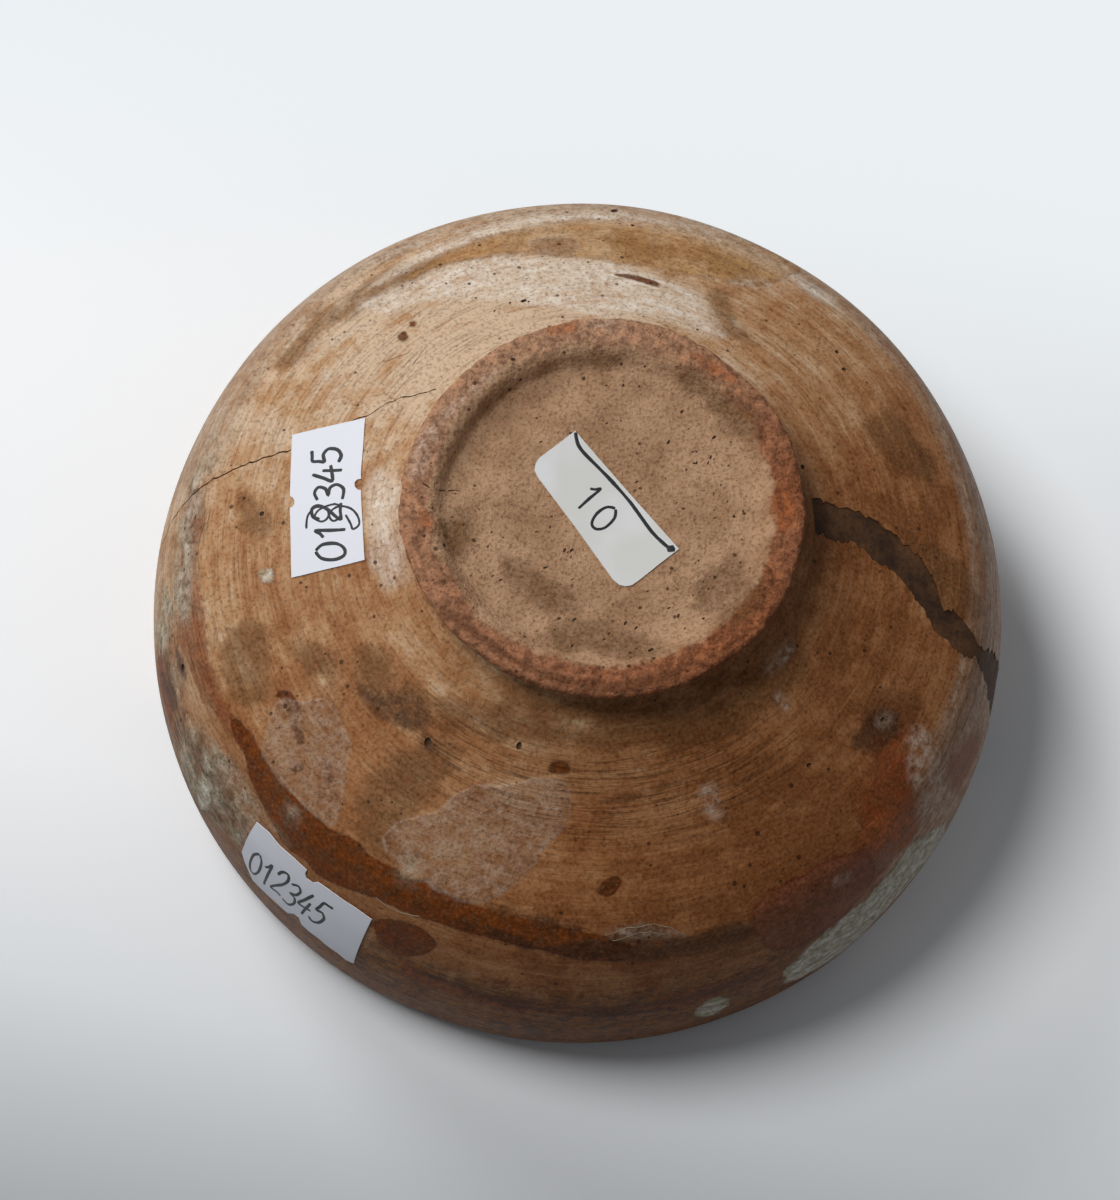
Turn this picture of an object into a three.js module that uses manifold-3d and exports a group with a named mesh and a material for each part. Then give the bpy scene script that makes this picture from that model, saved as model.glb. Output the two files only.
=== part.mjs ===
// A wheel-thrown, glazed pottery bowl, broken once and mended, standing upside down on its rim
// with the foot up. Millimetres, +Z up. The origin is the centre of the plane that the rim rests
// on. Directions round the bowl are in degrees from +X towards +Y, and -Y is the near side.
import * as THREE from "three";
import { mergeVertices } from "three/addons/utils/BufferGeometryUtils.js";
import Module from "manifold-3d";

const wasm = await Module();
wasm.setup();

// Outside of the wall: from the rim (down) up the side, over the shoulder and in to the foot.
const HEIGHT = 72;
const RIM_RADIUS = 73.2;
const RIM_ROUND = 1.3;
const SIDE_SWELL = 3.4;
const SIDE_SWELL_HEIGHT = 14;
const SHOULDER_INSET = 5.7;
const SHOULDER_HEIGHT = 45.3;
const SHOULDER_ANGLE = 57;
const SHOULDER_TURN_BELOW = 14.1;
const SHOULDER_TURN_ABOVE = 4.6;
const UNDERSIDE_ANGLE = 26;
const UNDERSIDE_TURN = 17.8;

// The turned foot: a cove, a waist, a flared lip to stand on and a dished underside inside it.
const FOOT_RADIUS = 33.3;
const FOOT_LIP_ROUND = 1.1;
const FOOT_REST_WIDTH = 3;
const FOOT_FLARE = 2.1;
const WAIST_DEPTH = 5.5;
const COVE_REACH = 4.7;
const COVE_DEPTH = 11.1;
const DISH_INSET = 7.8;
const DISH_STEP = 2.6;
const DISH_DEPTH = 3.7;

// The hollow that the potter's finger left at the edge of the dish.
const HOLLOW_DIRECTION = 146;
const HOLLOW_INSET = 2;
const HOLLOW_LENGTH = 26;
const HOLLOW_WIDTH = 14;
const HOLLOW_DEPTH = 1.2;
const HOLLOW_ROUND = 5;

// Thickness of the clay.
const WALL_THICKNESS = 5.5;
const FLOOR_THICKNESS = 8;

// The breaks. Each corner is [share of the way out across the wall, direction in degrees], from
// the foot joint to past the widest part, and each break goes straight down through the wall.
const FOOT_JOINT_REACH = 2.7;
const JOINT_GAP = 0.3;
const HAIRLINE = [
  [0.05, 154.5], [0.11, 158], [0.18, 164.5], [0.42, 175], [0.57, 178], [0.69, 180.5],
  [0.82, 183], [0.89, 184.5], [0.93, 186.5],
];
const HAIRLINE_START = 151;
const FILL_FAR_EDGE = [
  [0.06, 20.5], [0.21, 18.5], [0.32, 15.5], [0.42, 12.5], [0.48, 10.5], [0.53, 7.5],
  [0.59, 2.8], [0.63, 3.6], [0.71, 1.8], [0.76, 0], [0.81, 0.2], [0.87, 1.8], [0.93, 2.6],
];
const FILL_FAR_START = 21;
const FILL_NEAR_EDGE = [
  [0.09, 10.2], [0.18, 11], [0.28, 7.6], [0.38, 6], [0.47, 2.6], [0.55, -0.5],
  [0.63, -1.6], [0.69, -2.9], [0.76, -2.3], [0.81, -2.9], [0.88, -4.2], [0.93, -5],
];
const FILL_NEAR_START = 11;
const BREAK_END = 1.1;

// The paper labels: two with notched sides stuck on the wall, and one inside the foot.
const PAPER_THICKNESS = 0.25;
const PAPER_GAP = 0.3;
const NOTCH_RADIUS = 1;
const WALL_LABEL = {
  length: 26.4, startWidth: 13.4, endWidth: 13.4, direction: 184.5, turn: 8.5, fromFoot: 9.2,
};
const RIM_LABEL = {
  length: 24.8, startWidth: 14.6, endWidth: 18.4, direction: 241.5, turn: -4, fromFoot: 49.3,
};
const FOOT_LABEL_LENGTH = 26.4;
const FOOT_LABEL_WIDTH = 9.7;
const FOOT_LABEL_CORNER = 1.6;
const FOOT_LABEL_TURN = -41;
const FOOT_LABEL_OFFSET = 0.35;

// How finely the round forms are faceted.
const SEGMENTS = 72;
const SIDE_STEPS = 12;
const UNDERSIDE_STEPS = 9;
const JOINT_STEPS = 16;
const TURN_STEPS = 4;
const EDGE_STEPS = 2;

function point(r, z) {
  return new THREE.Vector2(r, z);
}

function radians(degrees) {
  return THREE.MathUtils.degToRad(degrees);
}

function polar(radius, direction) {
  return point(radius * Math.cos(radians(direction)), radius * Math.sin(radians(direction)));
}

// A point on the line that climbs inwards through another at this angle.
function climb(from, angle, distance) {
  const step = polar(distance, angle);
  return point(from.x - step.x, from.y + step.y);
}

function bend(from, corner, to, steps) {
  return new THREE.QuadraticBezierCurve(from, corner, to).getPoints(steps);
}

// An outline moved sideways, to the left of its direction of travel.
function offset(outline, distance) {
  return outline.map((here, i) => {
    const before = outline[Math.max(i - 1, 0)];
    const after = outline[Math.min(i + 1, outline.length - 1)];
    const travel = after.clone().sub(before).normalize();
    return point(here.x - travel.y * distance, here.y + travel.x * distance);
  });
}

const footJointRadius = FOOT_RADIUS + FOOT_JOINT_REACH;
const rimStart = point(RIM_RADIUS, RIM_ROUND);
const shoulder = point(RIM_RADIUS - SHOULDER_INSET, SHOULDER_HEIGHT);
const coveStart = point(FOOT_RADIUS + COVE_REACH, HEIGHT - COVE_DEPTH);
const waist = point(FOOT_RADIUS - FOOT_FLARE, HEIGHT - WAIST_DEPTH);
const dishEdge = point(FOOT_RADIUS - DISH_INSET, HEIGHT - DISH_STEP);
const dishCentre = point(0, HEIGHT - DISH_DEPTH);

const side = new THREE.CubicBezierCurve(
  rimStart,
  point(RIM_RADIUS + SIDE_SWELL, SIDE_SWELL_HEIGHT),
  climb(shoulder, SHOULDER_ANGLE, -SHOULDER_TURN_BELOW),
  shoulder,
);
const underside = new THREE.CubicBezierCurve(
  shoulder,
  climb(shoulder, SHOULDER_ANGLE, SHOULDER_TURN_ABOVE),
  climb(coveStart, UNDERSIDE_ANGLE, -UNDERSIDE_TURN),
  coveStart,
);
const wallOutline = [
  ...side.getPoints(SIDE_STEPS),
  ...underside.getPoints(UNDERSIDE_STEPS).slice(1),
];
const dishOutline = bend(dishEdge, point(dishEdge.x / 2, dishCentre.y), dishCentre, TURN_STEPS);

// From the cove over the foot to the centre of its dished underside.
function footOutline() {
  const coveCorner = climb(coveStart, UNDERSIDE_ANGLE, coveStart.x - waist.x);
  const lipEdge = point(FOOT_RADIUS, HEIGHT - FOOT_LIP_ROUND);
  const flareCorner = point(waist.x, (waist.y + lipEdge.y) / 2);
  const restOuter = point(FOOT_RADIUS - FOOT_LIP_ROUND, HEIGHT);
  const restInner = point(restOuter.x - FOOT_REST_WIDTH, HEIGHT);
  const stepCorner = point((restInner.x + dishEdge.x) / 2, HEIGHT);
  return [
    ...bend(coveStart, coveCorner, waist, TURN_STEPS).slice(1),
    ...bend(waist, flareCorner, lipEdge, TURN_STEPS).slice(1),
    ...bend(lipEdge, point(FOOT_RADIUS, HEIGHT), restOuter, EDGE_STEPS).slice(1),
    ...bend(restInner, stepCorner, dishEdge, TURN_STEPS),
    ...dishOutline.slice(1),
  ];
}

// From the centre of the inside down to the flat that the rim rests on.
function insideOutline() {
  const inner = offset(wallOutline, WALL_THICKNESS).reverse();
  const floorCentre = point(0, dishCentre.y - FLOOR_THICKNESS);
  const floorCorner = point(inner[0].x / 2, floorCentre.y);
  const rimInside = inner[inner.length - 1];
  const restInner = point(rimInside.x + RIM_ROUND, 0);
  return [
    ...bend(floorCentre, floorCorner, inner[0], TURN_STEPS),
    ...inner.slice(1),
    ...bend(rimInside, point(rimInside.x, 0), restInner, EDGE_STEPS).slice(1),
  ];
}

// A solid that can be cut and joined, from a closed geometry.
function solidOf(geometry) {
  geometry.deleteAttribute("normal");
  geometry.deleteAttribute("uv");
  const merged = mergeVertices(geometry);
  const corners = merged.index.array;
  const triVerts = [];
  for (let i = 0; i < corners.length; i += 3) {
    const [a, b, c] = corners.slice(i, i + 3);
    if (a !== b && b !== c && c !== a) {
      triVerts.push(a, b, c);
    }
  }
  const vertProperties = merged.attributes.position.array;
  return new wasm.Manifold(
    new wasm.Mesh({ numProp: 3, vertProperties, triVerts: new Uint32Array(triVerts) }),
  );
}

// A solid of revolution about +Z. Its outline keeps the material on its left.
function revolve(outline) {
  const geometry = new THREE.LatheGeometry(outline, SEGMENTS);
  geometry.rotateX(Math.PI / 2);
  return solidOf(geometry);
}

// The bowl as it was before it broke.
function wholeBowl() {
  const restOuter = point(RIM_RADIUS - RIM_ROUND, 0);
  const rimEdge = bend(restOuter, point(RIM_RADIUS, 0), rimStart, EDGE_STEPS).slice(0, -1);
  return revolve([...insideOutline(), ...rimEdge, ...wallOutline, ...footOutline()]);
}

function fingerHollow() {
  const geometry = new THREE.SphereGeometry(0.5, SEGMENTS / 3, SEGMENTS / 6);
  geometry.scale(HOLLOW_WIDTH, HOLLOW_LENGTH, 2 * HOLLOW_ROUND);
  geometry.translate(dishEdge.x - HOLLOW_INSET, 0, dishEdge.y + HOLLOW_ROUND - HOLLOW_DEPTH);
  geometry.rotateZ(radians(HOLLOW_DIRECTION));
  return solidOf(geometry);
}

// A break line in plan, moved sideways, from the foot joint to beyond the widest part.
function breakLine(start, corners, jointRadius, sideways) {
  const reach = RIM_RADIUS + SIDE_SWELL - footJointRadius;
  const beyond = [BREAK_END, corners[corners.length - 1][1]];
  const plan = [
    polar(jointRadius, start),
    ...[...corners, beyond].map(([out, direction]) => {
      return polar(footJointRadius + out * reach, direction);
    }),
  ];
  const line = offset(plan, sideways);
  line[0].setLength(jointRadius);
  return line;
}

// An upright block round from one break line to another, and out from the foot joint.
function breakBlock(first, last, jointRadius) {
  const shape = new THREE.Shape(first);
  const outer = first[first.length - 1];
  const outerEnd = last[last.length - 1];
  shape.absarc(0, 0, outer.length(), outer.angle(), outerEnd.angle(), false);
  [...last].reverse().forEach((corner) => shape.lineTo(corner.x, corner.y));
  shape.absarc(0, 0, jointRadius, last[0].angle(), first[0].angle(), true);
  const geometry = new THREE.ExtrudeGeometry(shape, {
    depth: HEIGHT,
    bevelEnabled: false,
    curveSegments: JOINT_STEPS,
  });
  geometry.translate(0, 0, -RIM_ROUND);
  return solidOf(geometry);
}

// The three breaks, each moved sideways by half the joint for the piece that it bounds.
function hairline(jointRadius, sideways) {
  return breakLine(HAIRLINE_START, HAIRLINE, jointRadius, sideways);
}

function fillFarEdge(jointRadius, sideways) {
  return breakLine(FILL_FAR_START, FILL_FAR_EDGE, jointRadius, sideways);
}

function fillNearEdge(jointRadius, sideways) {
  return breakLine(FILL_NEAR_START, FILL_NEAR_EDGE, jointRadius, sideways);
}

// The main sherd with the foot, the wall sherd set back against it, and the fill between them.
function mendedPieces() {
  const bowl = wholeBowl();
  const half = JOINT_GAP / 2;
  const inner = footJointRadius - half;
  const outer = footJointRadius + half;
  const missing = breakBlock(fillNearEdge(inner, -half), hairline(inner, half), inner);
  const sherd = breakBlock(fillFarEdge(outer, half), hairline(outer, -half), outer);
  const fill = breakBlock(fillNearEdge(outer, half), fillFarEdge(outer, -half), outer);
  return {
    body: bowl.subtract(missing).subtract(fingerHollow()),
    sherd: bowl.intersect(sherd),
    fill: bowl.intersect(fill),
  };
}

// A sheet of paper that follows a surface of revolution between two outlines.
function paperSheet(under, over) {
  return revolve([...over, ...[...under].reverse(), over[0]]);
}

// A four-sided label with a half-round notch in the middle of each long side.
function notchedShape({ length, startWidth, endWidth }) {
  const half = (startWidth + endWidth) / 4;
  const shape = new THREE.Shape();
  shape.moveTo(-length / 2, startWidth / 2);
  shape.lineTo(-length / 2, -startWidth / 2);
  shape.absarc(0, -half, NOTCH_RADIUS, Math.PI, 0, true);
  shape.lineTo(length / 2, -endWidth / 2);
  shape.lineTo(length / 2, endWidth / 2);
  shape.absarc(0, half, NOTCH_RADIUS, 0, Math.PI, true);
  return shape;
}

// A label with two square corners and two round ones.
function roundedShape(length, width, corner) {
  const shape = new THREE.Shape();
  shape.moveTo(length / 2, width / 2);
  shape.lineTo(-length / 2, width / 2);
  shape.absarc(corner - length / 2, corner - width / 2, corner, Math.PI, 1.5 * Math.PI, false);
  shape.absarc(length / 2 - corner, corner - width / 2, corner, 1.5 * Math.PI, 0, false);
  return shape;
}

function labelBlock(shape) {
  const depth = WALL_THICKNESS + PAPER_GAP + PAPER_THICKNESS;
  const geometry = new THREE.ExtrudeGeometry(shape, {
    depth: 2 * depth,
    bevelEnabled: false,
    curveSegments: TURN_STEPS,
  });
  geometry.translate(0, 0, -depth);
  return geometry;
}

// A notched label on the wall, its length round the bowl and its width up the wall.
function wallLabel(label) {
  const wall = new THREE.CurvePath();
  wall.add(side);
  wall.add(underside);
  const wayUp = 1 - label.fromFoot / wall.getLength();
  const centre = wall.getPointAt(wayUp);
  const up = wall.getTangentAt(wayUp);
  const geometry = labelBlock(notchedShape(label));
  geometry.rotateZ(radians(label.turn));
  geometry.applyMatrix4(
    new THREE.Matrix4().makeBasis(
      new THREE.Vector3(0, 1, 0),
      new THREE.Vector3(up.x, 0, up.y),
      new THREE.Vector3(up.y, 0, -up.x),
    ),
  );
  geometry.translate(centre.x, 0, centre.y);
  geometry.rotateZ(radians(label.direction));
  const under = offset(wallOutline, -PAPER_GAP);
  const over = offset(wallOutline, -PAPER_GAP - PAPER_THICKNESS);
  return paperSheet(under, over).intersect(solidOf(geometry));
}

function footLabel() {
  const shape = roundedShape(FOOT_LABEL_LENGTH, FOOT_LABEL_WIDTH, FOOT_LABEL_CORNER);
  const geometry = labelBlock(shape);
  geometry.rotateZ(radians(FOOT_LABEL_TURN));
  geometry.translate(0, FOOT_LABEL_OFFSET, dishCentre.y);
  const raised = (height) => dishOutline.map(({ x, y }) => point(x, y + height));
  const sheet = paperSheet(raised(PAPER_GAP), raised(PAPER_GAP + PAPER_THICKNESS));
  return sheet.intersect(solidOf(geometry));
}

function meshOf(name, solid, material) {
  const { vertProperties, triVerts } = solid.getMesh();
  const geometry = new THREE.BufferGeometry();
  geometry.setAttribute("position", new THREE.BufferAttribute(vertProperties, 3));
  geometry.setIndex(new THREE.BufferAttribute(triVerts, 1));
  geometry.computeVertexNormals();
  const mesh = new THREE.Mesh(geometry, material);
  mesh.name = name;
  return mesh;
}

const glaze = new THREE.MeshStandardMaterial({ color: 0xb08a5e, roughness: 0.35, metalness: 0 });
const sherdGlaze = new THREE.MeshStandardMaterial({ color: 0xb48f64, roughness: 0.35, metalness: 0 });
const filler = new THREE.MeshStandardMaterial({ color: 0x4a3a2c, roughness: 0.7, metalness: 0 });
const paper = new THREE.MeshStandardMaterial({ color: 0xeeeef2, roughness: 0.6, metalness: 0 });
const coatedPaper = new THREE.MeshStandardMaterial({ color: 0xf0f0ec, roughness: 0.25, metalness: 0 });

const pieces = mendedPieces();
const bowl = new THREE.Group();
bowl.add(
  meshOf("bowl_body", pieces.body, glaze),
  meshOf("wall_sherd", pieces.sherd, sherdGlaze),
  meshOf("break_fill", pieces.fill, filler),
  meshOf("wall_label", wallLabel(WALL_LABEL), paper),
  meshOf("rim_label", wallLabel(RIM_LABEL), paper),
  meshOf("foot_label", footLabel(), coatedPaper),
);

export default bowl;
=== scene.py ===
# Looks for the mended pottery bowl, which stands upside down on its rim with the foot up.
# Sizes are in millimetres and degrees, and MM turns them to metres for Blender. A place on the
# outside is given as [distance out from the middle of the foot along the surface, direction].
import math

import bpy
import numpy as np
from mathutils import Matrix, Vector, noise


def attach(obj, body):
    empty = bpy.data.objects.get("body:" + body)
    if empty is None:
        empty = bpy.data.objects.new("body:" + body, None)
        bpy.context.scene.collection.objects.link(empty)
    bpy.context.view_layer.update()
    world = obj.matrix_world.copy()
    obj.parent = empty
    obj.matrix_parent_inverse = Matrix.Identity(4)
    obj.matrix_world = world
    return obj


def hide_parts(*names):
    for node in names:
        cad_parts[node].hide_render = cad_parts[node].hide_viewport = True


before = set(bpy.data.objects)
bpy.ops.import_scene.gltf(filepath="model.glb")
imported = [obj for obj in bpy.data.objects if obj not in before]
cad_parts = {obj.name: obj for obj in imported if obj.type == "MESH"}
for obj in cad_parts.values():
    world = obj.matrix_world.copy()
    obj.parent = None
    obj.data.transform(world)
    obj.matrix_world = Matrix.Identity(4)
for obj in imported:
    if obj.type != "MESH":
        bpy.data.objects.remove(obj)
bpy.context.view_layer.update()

MM = 0.001


def only(piece):
    """Selects one piece and nothing else."""
    bpy.ops.object.select_all(action="DESELECT")
    piece.select_set(True)
    bpy.context.view_layer.objects.active = piece


def finish_with(piece, kind, **settings):
    """Adds a modifier, sets it and applies it."""
    only(piece)
    modifier = piece.modifiers.new(kind.title(), kind)
    for key, value in settings.items():
        setattr(modifier, key, value)
    bpy.ops.object.modifier_apply(modifier=modifier.name)


def copy_of(piece, name):
    """Copies a piece with its own mesh."""
    twin = piece.copy()
    twin.data = piece.data.copy()
    twin.name = name
    bpy.context.collection.objects.link(twin)
    return twin


def points_of(piece):
    """The piece's points in millimetres."""
    flat = np.empty(len(piece.data.vertices) * 3)
    piece.data.vertices.foreach_get("co", flat)
    return flat.reshape(-1, 3) / MM


def normals_of(piece):
    """Which way the surface faces at each point."""
    flat = np.empty(len(piece.data.vertices) * 3)
    piece.data.vertex_normals.foreach_get("vector", flat)
    return flat.reshape(-1, 3)


def put_points(piece, points):
    """Moves the piece's points to these places in millimetres."""
    piece.data.vertices.foreach_set("co", (points * MM).ravel())
    piece.data.update()


def smooth(low, high, value):
    """0 below low, 1 above high and a soft step between them."""
    t = np.clip((value - low) / (high - low), 0, 1)
    return t * t * (3 - 2 * t)


# [radius, height] of the outside from the middle of the foot to the rim, then of the inside.
UNDERSIDE = [[3, 68.3], [6.4, 68.35], [12.8, 68.55], [19.1, 68.9], [23, 69.2], [25.5, 69.5]]
FOOT_LIP = [[26.4, 70.5], [27.4, 71.4], [28.3, 71.85], [29.3, 72], [30.8, 72], [32.2, 71.95],
            [33, 71.6], [33.3, 70.8], [32.9, 69.9], [32.3, 69], [31.7, 68], [31.3, 67.2]]
WALL = [[31.2, 66.4], [31.9, 65.1], [33.3, 63.8], [35.3, 62.4], [38, 60.9], [43.1, 58.4],
        [47.9, 56.2], [52.2, 54.2], [56.1, 52.4], [59.4, 50.8], [62.3, 49.3], [64.6, 47.9],
        [66.5, 46.5], [67.7, 45.1], [69.3, 42.2], [70.8, 38.8], [72.1, 35.2], [73.15, 31.5],
        [73.9, 27.6], [74.45, 23.6], [74.8, 19.7], [74.9, 15.7], [74.8, 11.9], [74.5, 8.2],
        [73.95, 4.6], [73.4, 2], [73.1, 0.9], [72.6, 0.2], [71.8, 0]]
INSIDE = [[70.4, 0], [69.1, 0.1], [68.3, 0.6], [67.9, 1.4], [67.85, 2.5], [68.5, 5.6],
          [69.2, 10.5], [69.4, 15.7], [69.2, 21.3], [68.5, 26.6], [67.3, 31.9], [65.7, 36.8],
          [64.2, 40], [62.6, 42.4], [60, 44.3], [56.5, 46.1], [51.5, 48.5], [45.6, 51.2],
          [40.8, 53.5], [35.6, 55.9], [26.7, 57.8], [17.8, 59.2], [8.9, 60.1], [3, 60.3]]
SIDES = 94
LONGEST_SPAN = 2.8
FOOT_RADIUS = 33.3

# Where the outside is spread flat, the lip's top ends at 33, the waist of the foot fills the next
# 3 mm, and the wall goes on from the foot joint to beyond the rim.
LIP_OUT = 33
FOOT_JOINT = 36
WALL_END = 125


def finer(outline, longest):
    """Halves the long spans of an outline, each new point on a curve through its neighbours."""
    line = np.array(outline, float)
    result = [line[0]]
    for i in range(len(line) - 1):
        before, after = line[max(i - 1, 0)], line[min(i + 2, len(line) - 1)]
        if np.linalg.norm(line[i + 1] - line[i]) > longest:
            result.append((9 * (line[i] + line[i + 1]) - before - after) / 16)
        result.append(line[i + 1])
    return result


def turned(name, outline):
    """A closed shell turned on the wheel: a ring drawn along the outline and shut at both ends."""
    bpy.ops.object.select_all(action="DESELECT")
    radius, height = outline[0]
    bpy.ops.mesh.primitive_circle_add(
        vertices=SIDES, radius=radius * MM, location=(0, 0, height * MM))
    piece = bpy.context.active_object
    piece.name = name
    bpy.ops.object.transform_apply(location=True)
    bpy.ops.object.mode_set(mode="EDIT")
    bpy.ops.mesh.select_all(action="SELECT")
    for (radius, height), (next_radius, next_height) in zip(outline, outline[1:]):
        bpy.ops.mesh.extrude_region_move(
            TRANSFORM_OT_translate={"value": (0, 0, (next_height - height) * MM)})
        ratio = next_radius / radius
        bpy.ops.transform.resize(value=(ratio, ratio, 1), center_override=(0, 0, 0))
    bpy.ops.mesh.extrude_region_move(TRANSFORM_OT_translate={"value": (0, 0, 0)})
    bpy.ops.mesh.merge(type="CENTER")
    bpy.ops.mesh.select_mode(type="EDGE")
    bpy.ops.mesh.select_all(action="DESELECT")
    bpy.ops.mesh.select_non_manifold(extend=False)
    bpy.ops.mesh.extrude_region_move(TRANSFORM_OT_translate={"value": (0, 0, 0)})
    bpy.ops.mesh.merge(type="CENTER")
    bpy.ops.mesh.select_mode(type="VERT")
    bpy.ops.mesh.select_all(action="SELECT")
    bpy.ops.mesh.remove_doubles(threshold=0.00001)
    bpy.ops.mesh.normals_make_consistent(inside=False)
    bpy.ops.object.mode_set(mode="OBJECT")
    return piece


TURNED_UNDERSIDE, TURNED_WALL = finer(UNDERSIDE, LONGEST_SPAN), finer(WALL, LONGEST_SPAN)
OUTLINE = TURNED_UNDERSIDE + FOOT_LIP + TURNED_WALL + INSIDE
bowl = turned("bowl", OUTLINE)
finish_with(bowl, "SUBSURF", levels=2, render_levels=2)

# The section from the middle of the foot over the outside and the rim to the middle of the floor.
SECTION = np.array([[0, UNDERSIDE[0][1]], *OUTLINE, [0, INSIDE[-1][1]]])
SECTION_STEPS = np.linalg.norm(np.diff(SECTION, axis=0), axis=1)
SECTION_ALONG = np.r_[0, np.cumsum(SECTION_STEPS)]


def on_section(points):
    """How far along the section each point is from the middle of the foot, and how far off it."""
    here = np.c_[np.hypot(points[:, 0], points[:, 1]), points[:, 2]]
    best = np.full(len(here), 1e9)
    along = np.zeros(len(here))
    for start, step, length, run in zip(
            SECTION, np.diff(SECTION, axis=0), SECTION_STEPS, SECTION_ALONG):
        share = np.clip((here - start) @ step / length ** 2, 0, 1)
        away = np.linalg.norm(here - start - share[:, None] * step, axis=1)
        nearer = away < best
        best[nearer] = away[nearer]
        along[nearer] = run + share[nearer] * length
    return along, best


LIP_INDEX = int(np.argmax(SECTION[:, 0] >= FOOT_RADIUS)) + 1
WALL_INDEX = 1 + len(TURNED_UNDERSIDE) + len(FOOT_LIP)
WIDEST_INDEX = int(np.argmax(SECTION[:, 0]))
LIP_ALONG = float(SECTION_ALONG[LIP_INDEX - 1])
JOINT_ALONG = float(np.interp(FOOT_JOINT, SECTION[WALL_INDEX:WIDEST_INDEX, 0],
                              SECTION_ALONG[WALL_INDEX:WIDEST_INDEX]))
RIM_ALONG = float(SECTION_ALONG[WALL_INDEX + len(TURNED_WALL) - 1])


def spread(along, points):
    """How far out from the middle of the foot each point lies, measured along the outside."""
    radius = np.hypot(points[:, 0], points[:, 1])
    waist = np.interp(along, [LIP_ALONG, JOINT_ALONG], [FOOT_RADIUS, FOOT_JOINT])
    wall = FOOT_JOINT + along - JOINT_ALONG
    return np.where(along < LIP_ALONG, radius, np.where(along < JOINT_ALONG, waist, wall))


def spot_on(out, direction):
    """The point of the outside surface this far out, in this direction."""
    if out < LIP_OUT:
        height = float(np.interp(out, SECTION[:LIP_INDEX, 0], SECTION[:LIP_INDEX, 1]))
        radius = out
    else:
        along = float(np.interp(out, [LIP_OUT, FOOT_JOINT, WALL_END],
                                [LIP_ALONG, JOINT_ALONG, JOINT_ALONG + (WALL_END - FOOT_JOINT)]))
        radius = float(np.interp(along, SECTION_ALONG, SECTION[:, 0]))
        height = float(np.interp(along, SECTION_ALONG, SECTION[:, 1]))
    a = math.radians(direction)
    return Vector((radius * math.cos(a), radius * math.sin(a), height))


# The breaks, as seen from above: [share of the way across the wall, direction], from the foot
# joint outwards. The hairline runs to the left, and the fill lies between its far and near edges.
HAIRLINE = [[0, 151], [0.05, 154.5], [0.11, 158], [0.18, 164.5], [0.42, 175], [0.57, 178],
            [0.69, 180.5], [0.82, 183], [0.89, 184.5], [0.93, 186.5], [1.1, 186.5]]
FILL_FAR = [[0, 21], [0.06, 20.5], [0.21, 18.5], [0.32, 15.5], [0.42, 12.5], [0.48, 10.5],
            [0.53, 7.5], [0.59, 2.8], [0.63, 3.6], [0.71, 1.8], [0.76, 0], [0.81, 0.2],
            [0.87, 1.8], [0.93, 2.6], [1.1, 2.6]]
FILL_NEAR = [[0, 11], [0.09, 10.2], [0.18, 11], [0.28, 7.6], [0.38, 6], [0.47, 2.6],
             [0.55, -0.5], [0.63, -1.6], [0.69, -2.9], [0.76, -2.3], [0.81, -2.9], [0.88, -4.2],
             [0.93, -5], [1.1, -5]]
WALL_REACH = 40.6
FILL_JAG = 0.9
HAIRLINE_JAG = 0.5
HAIRLINE_GAP = 0.3
FILL_GAP = 0.05

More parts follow.
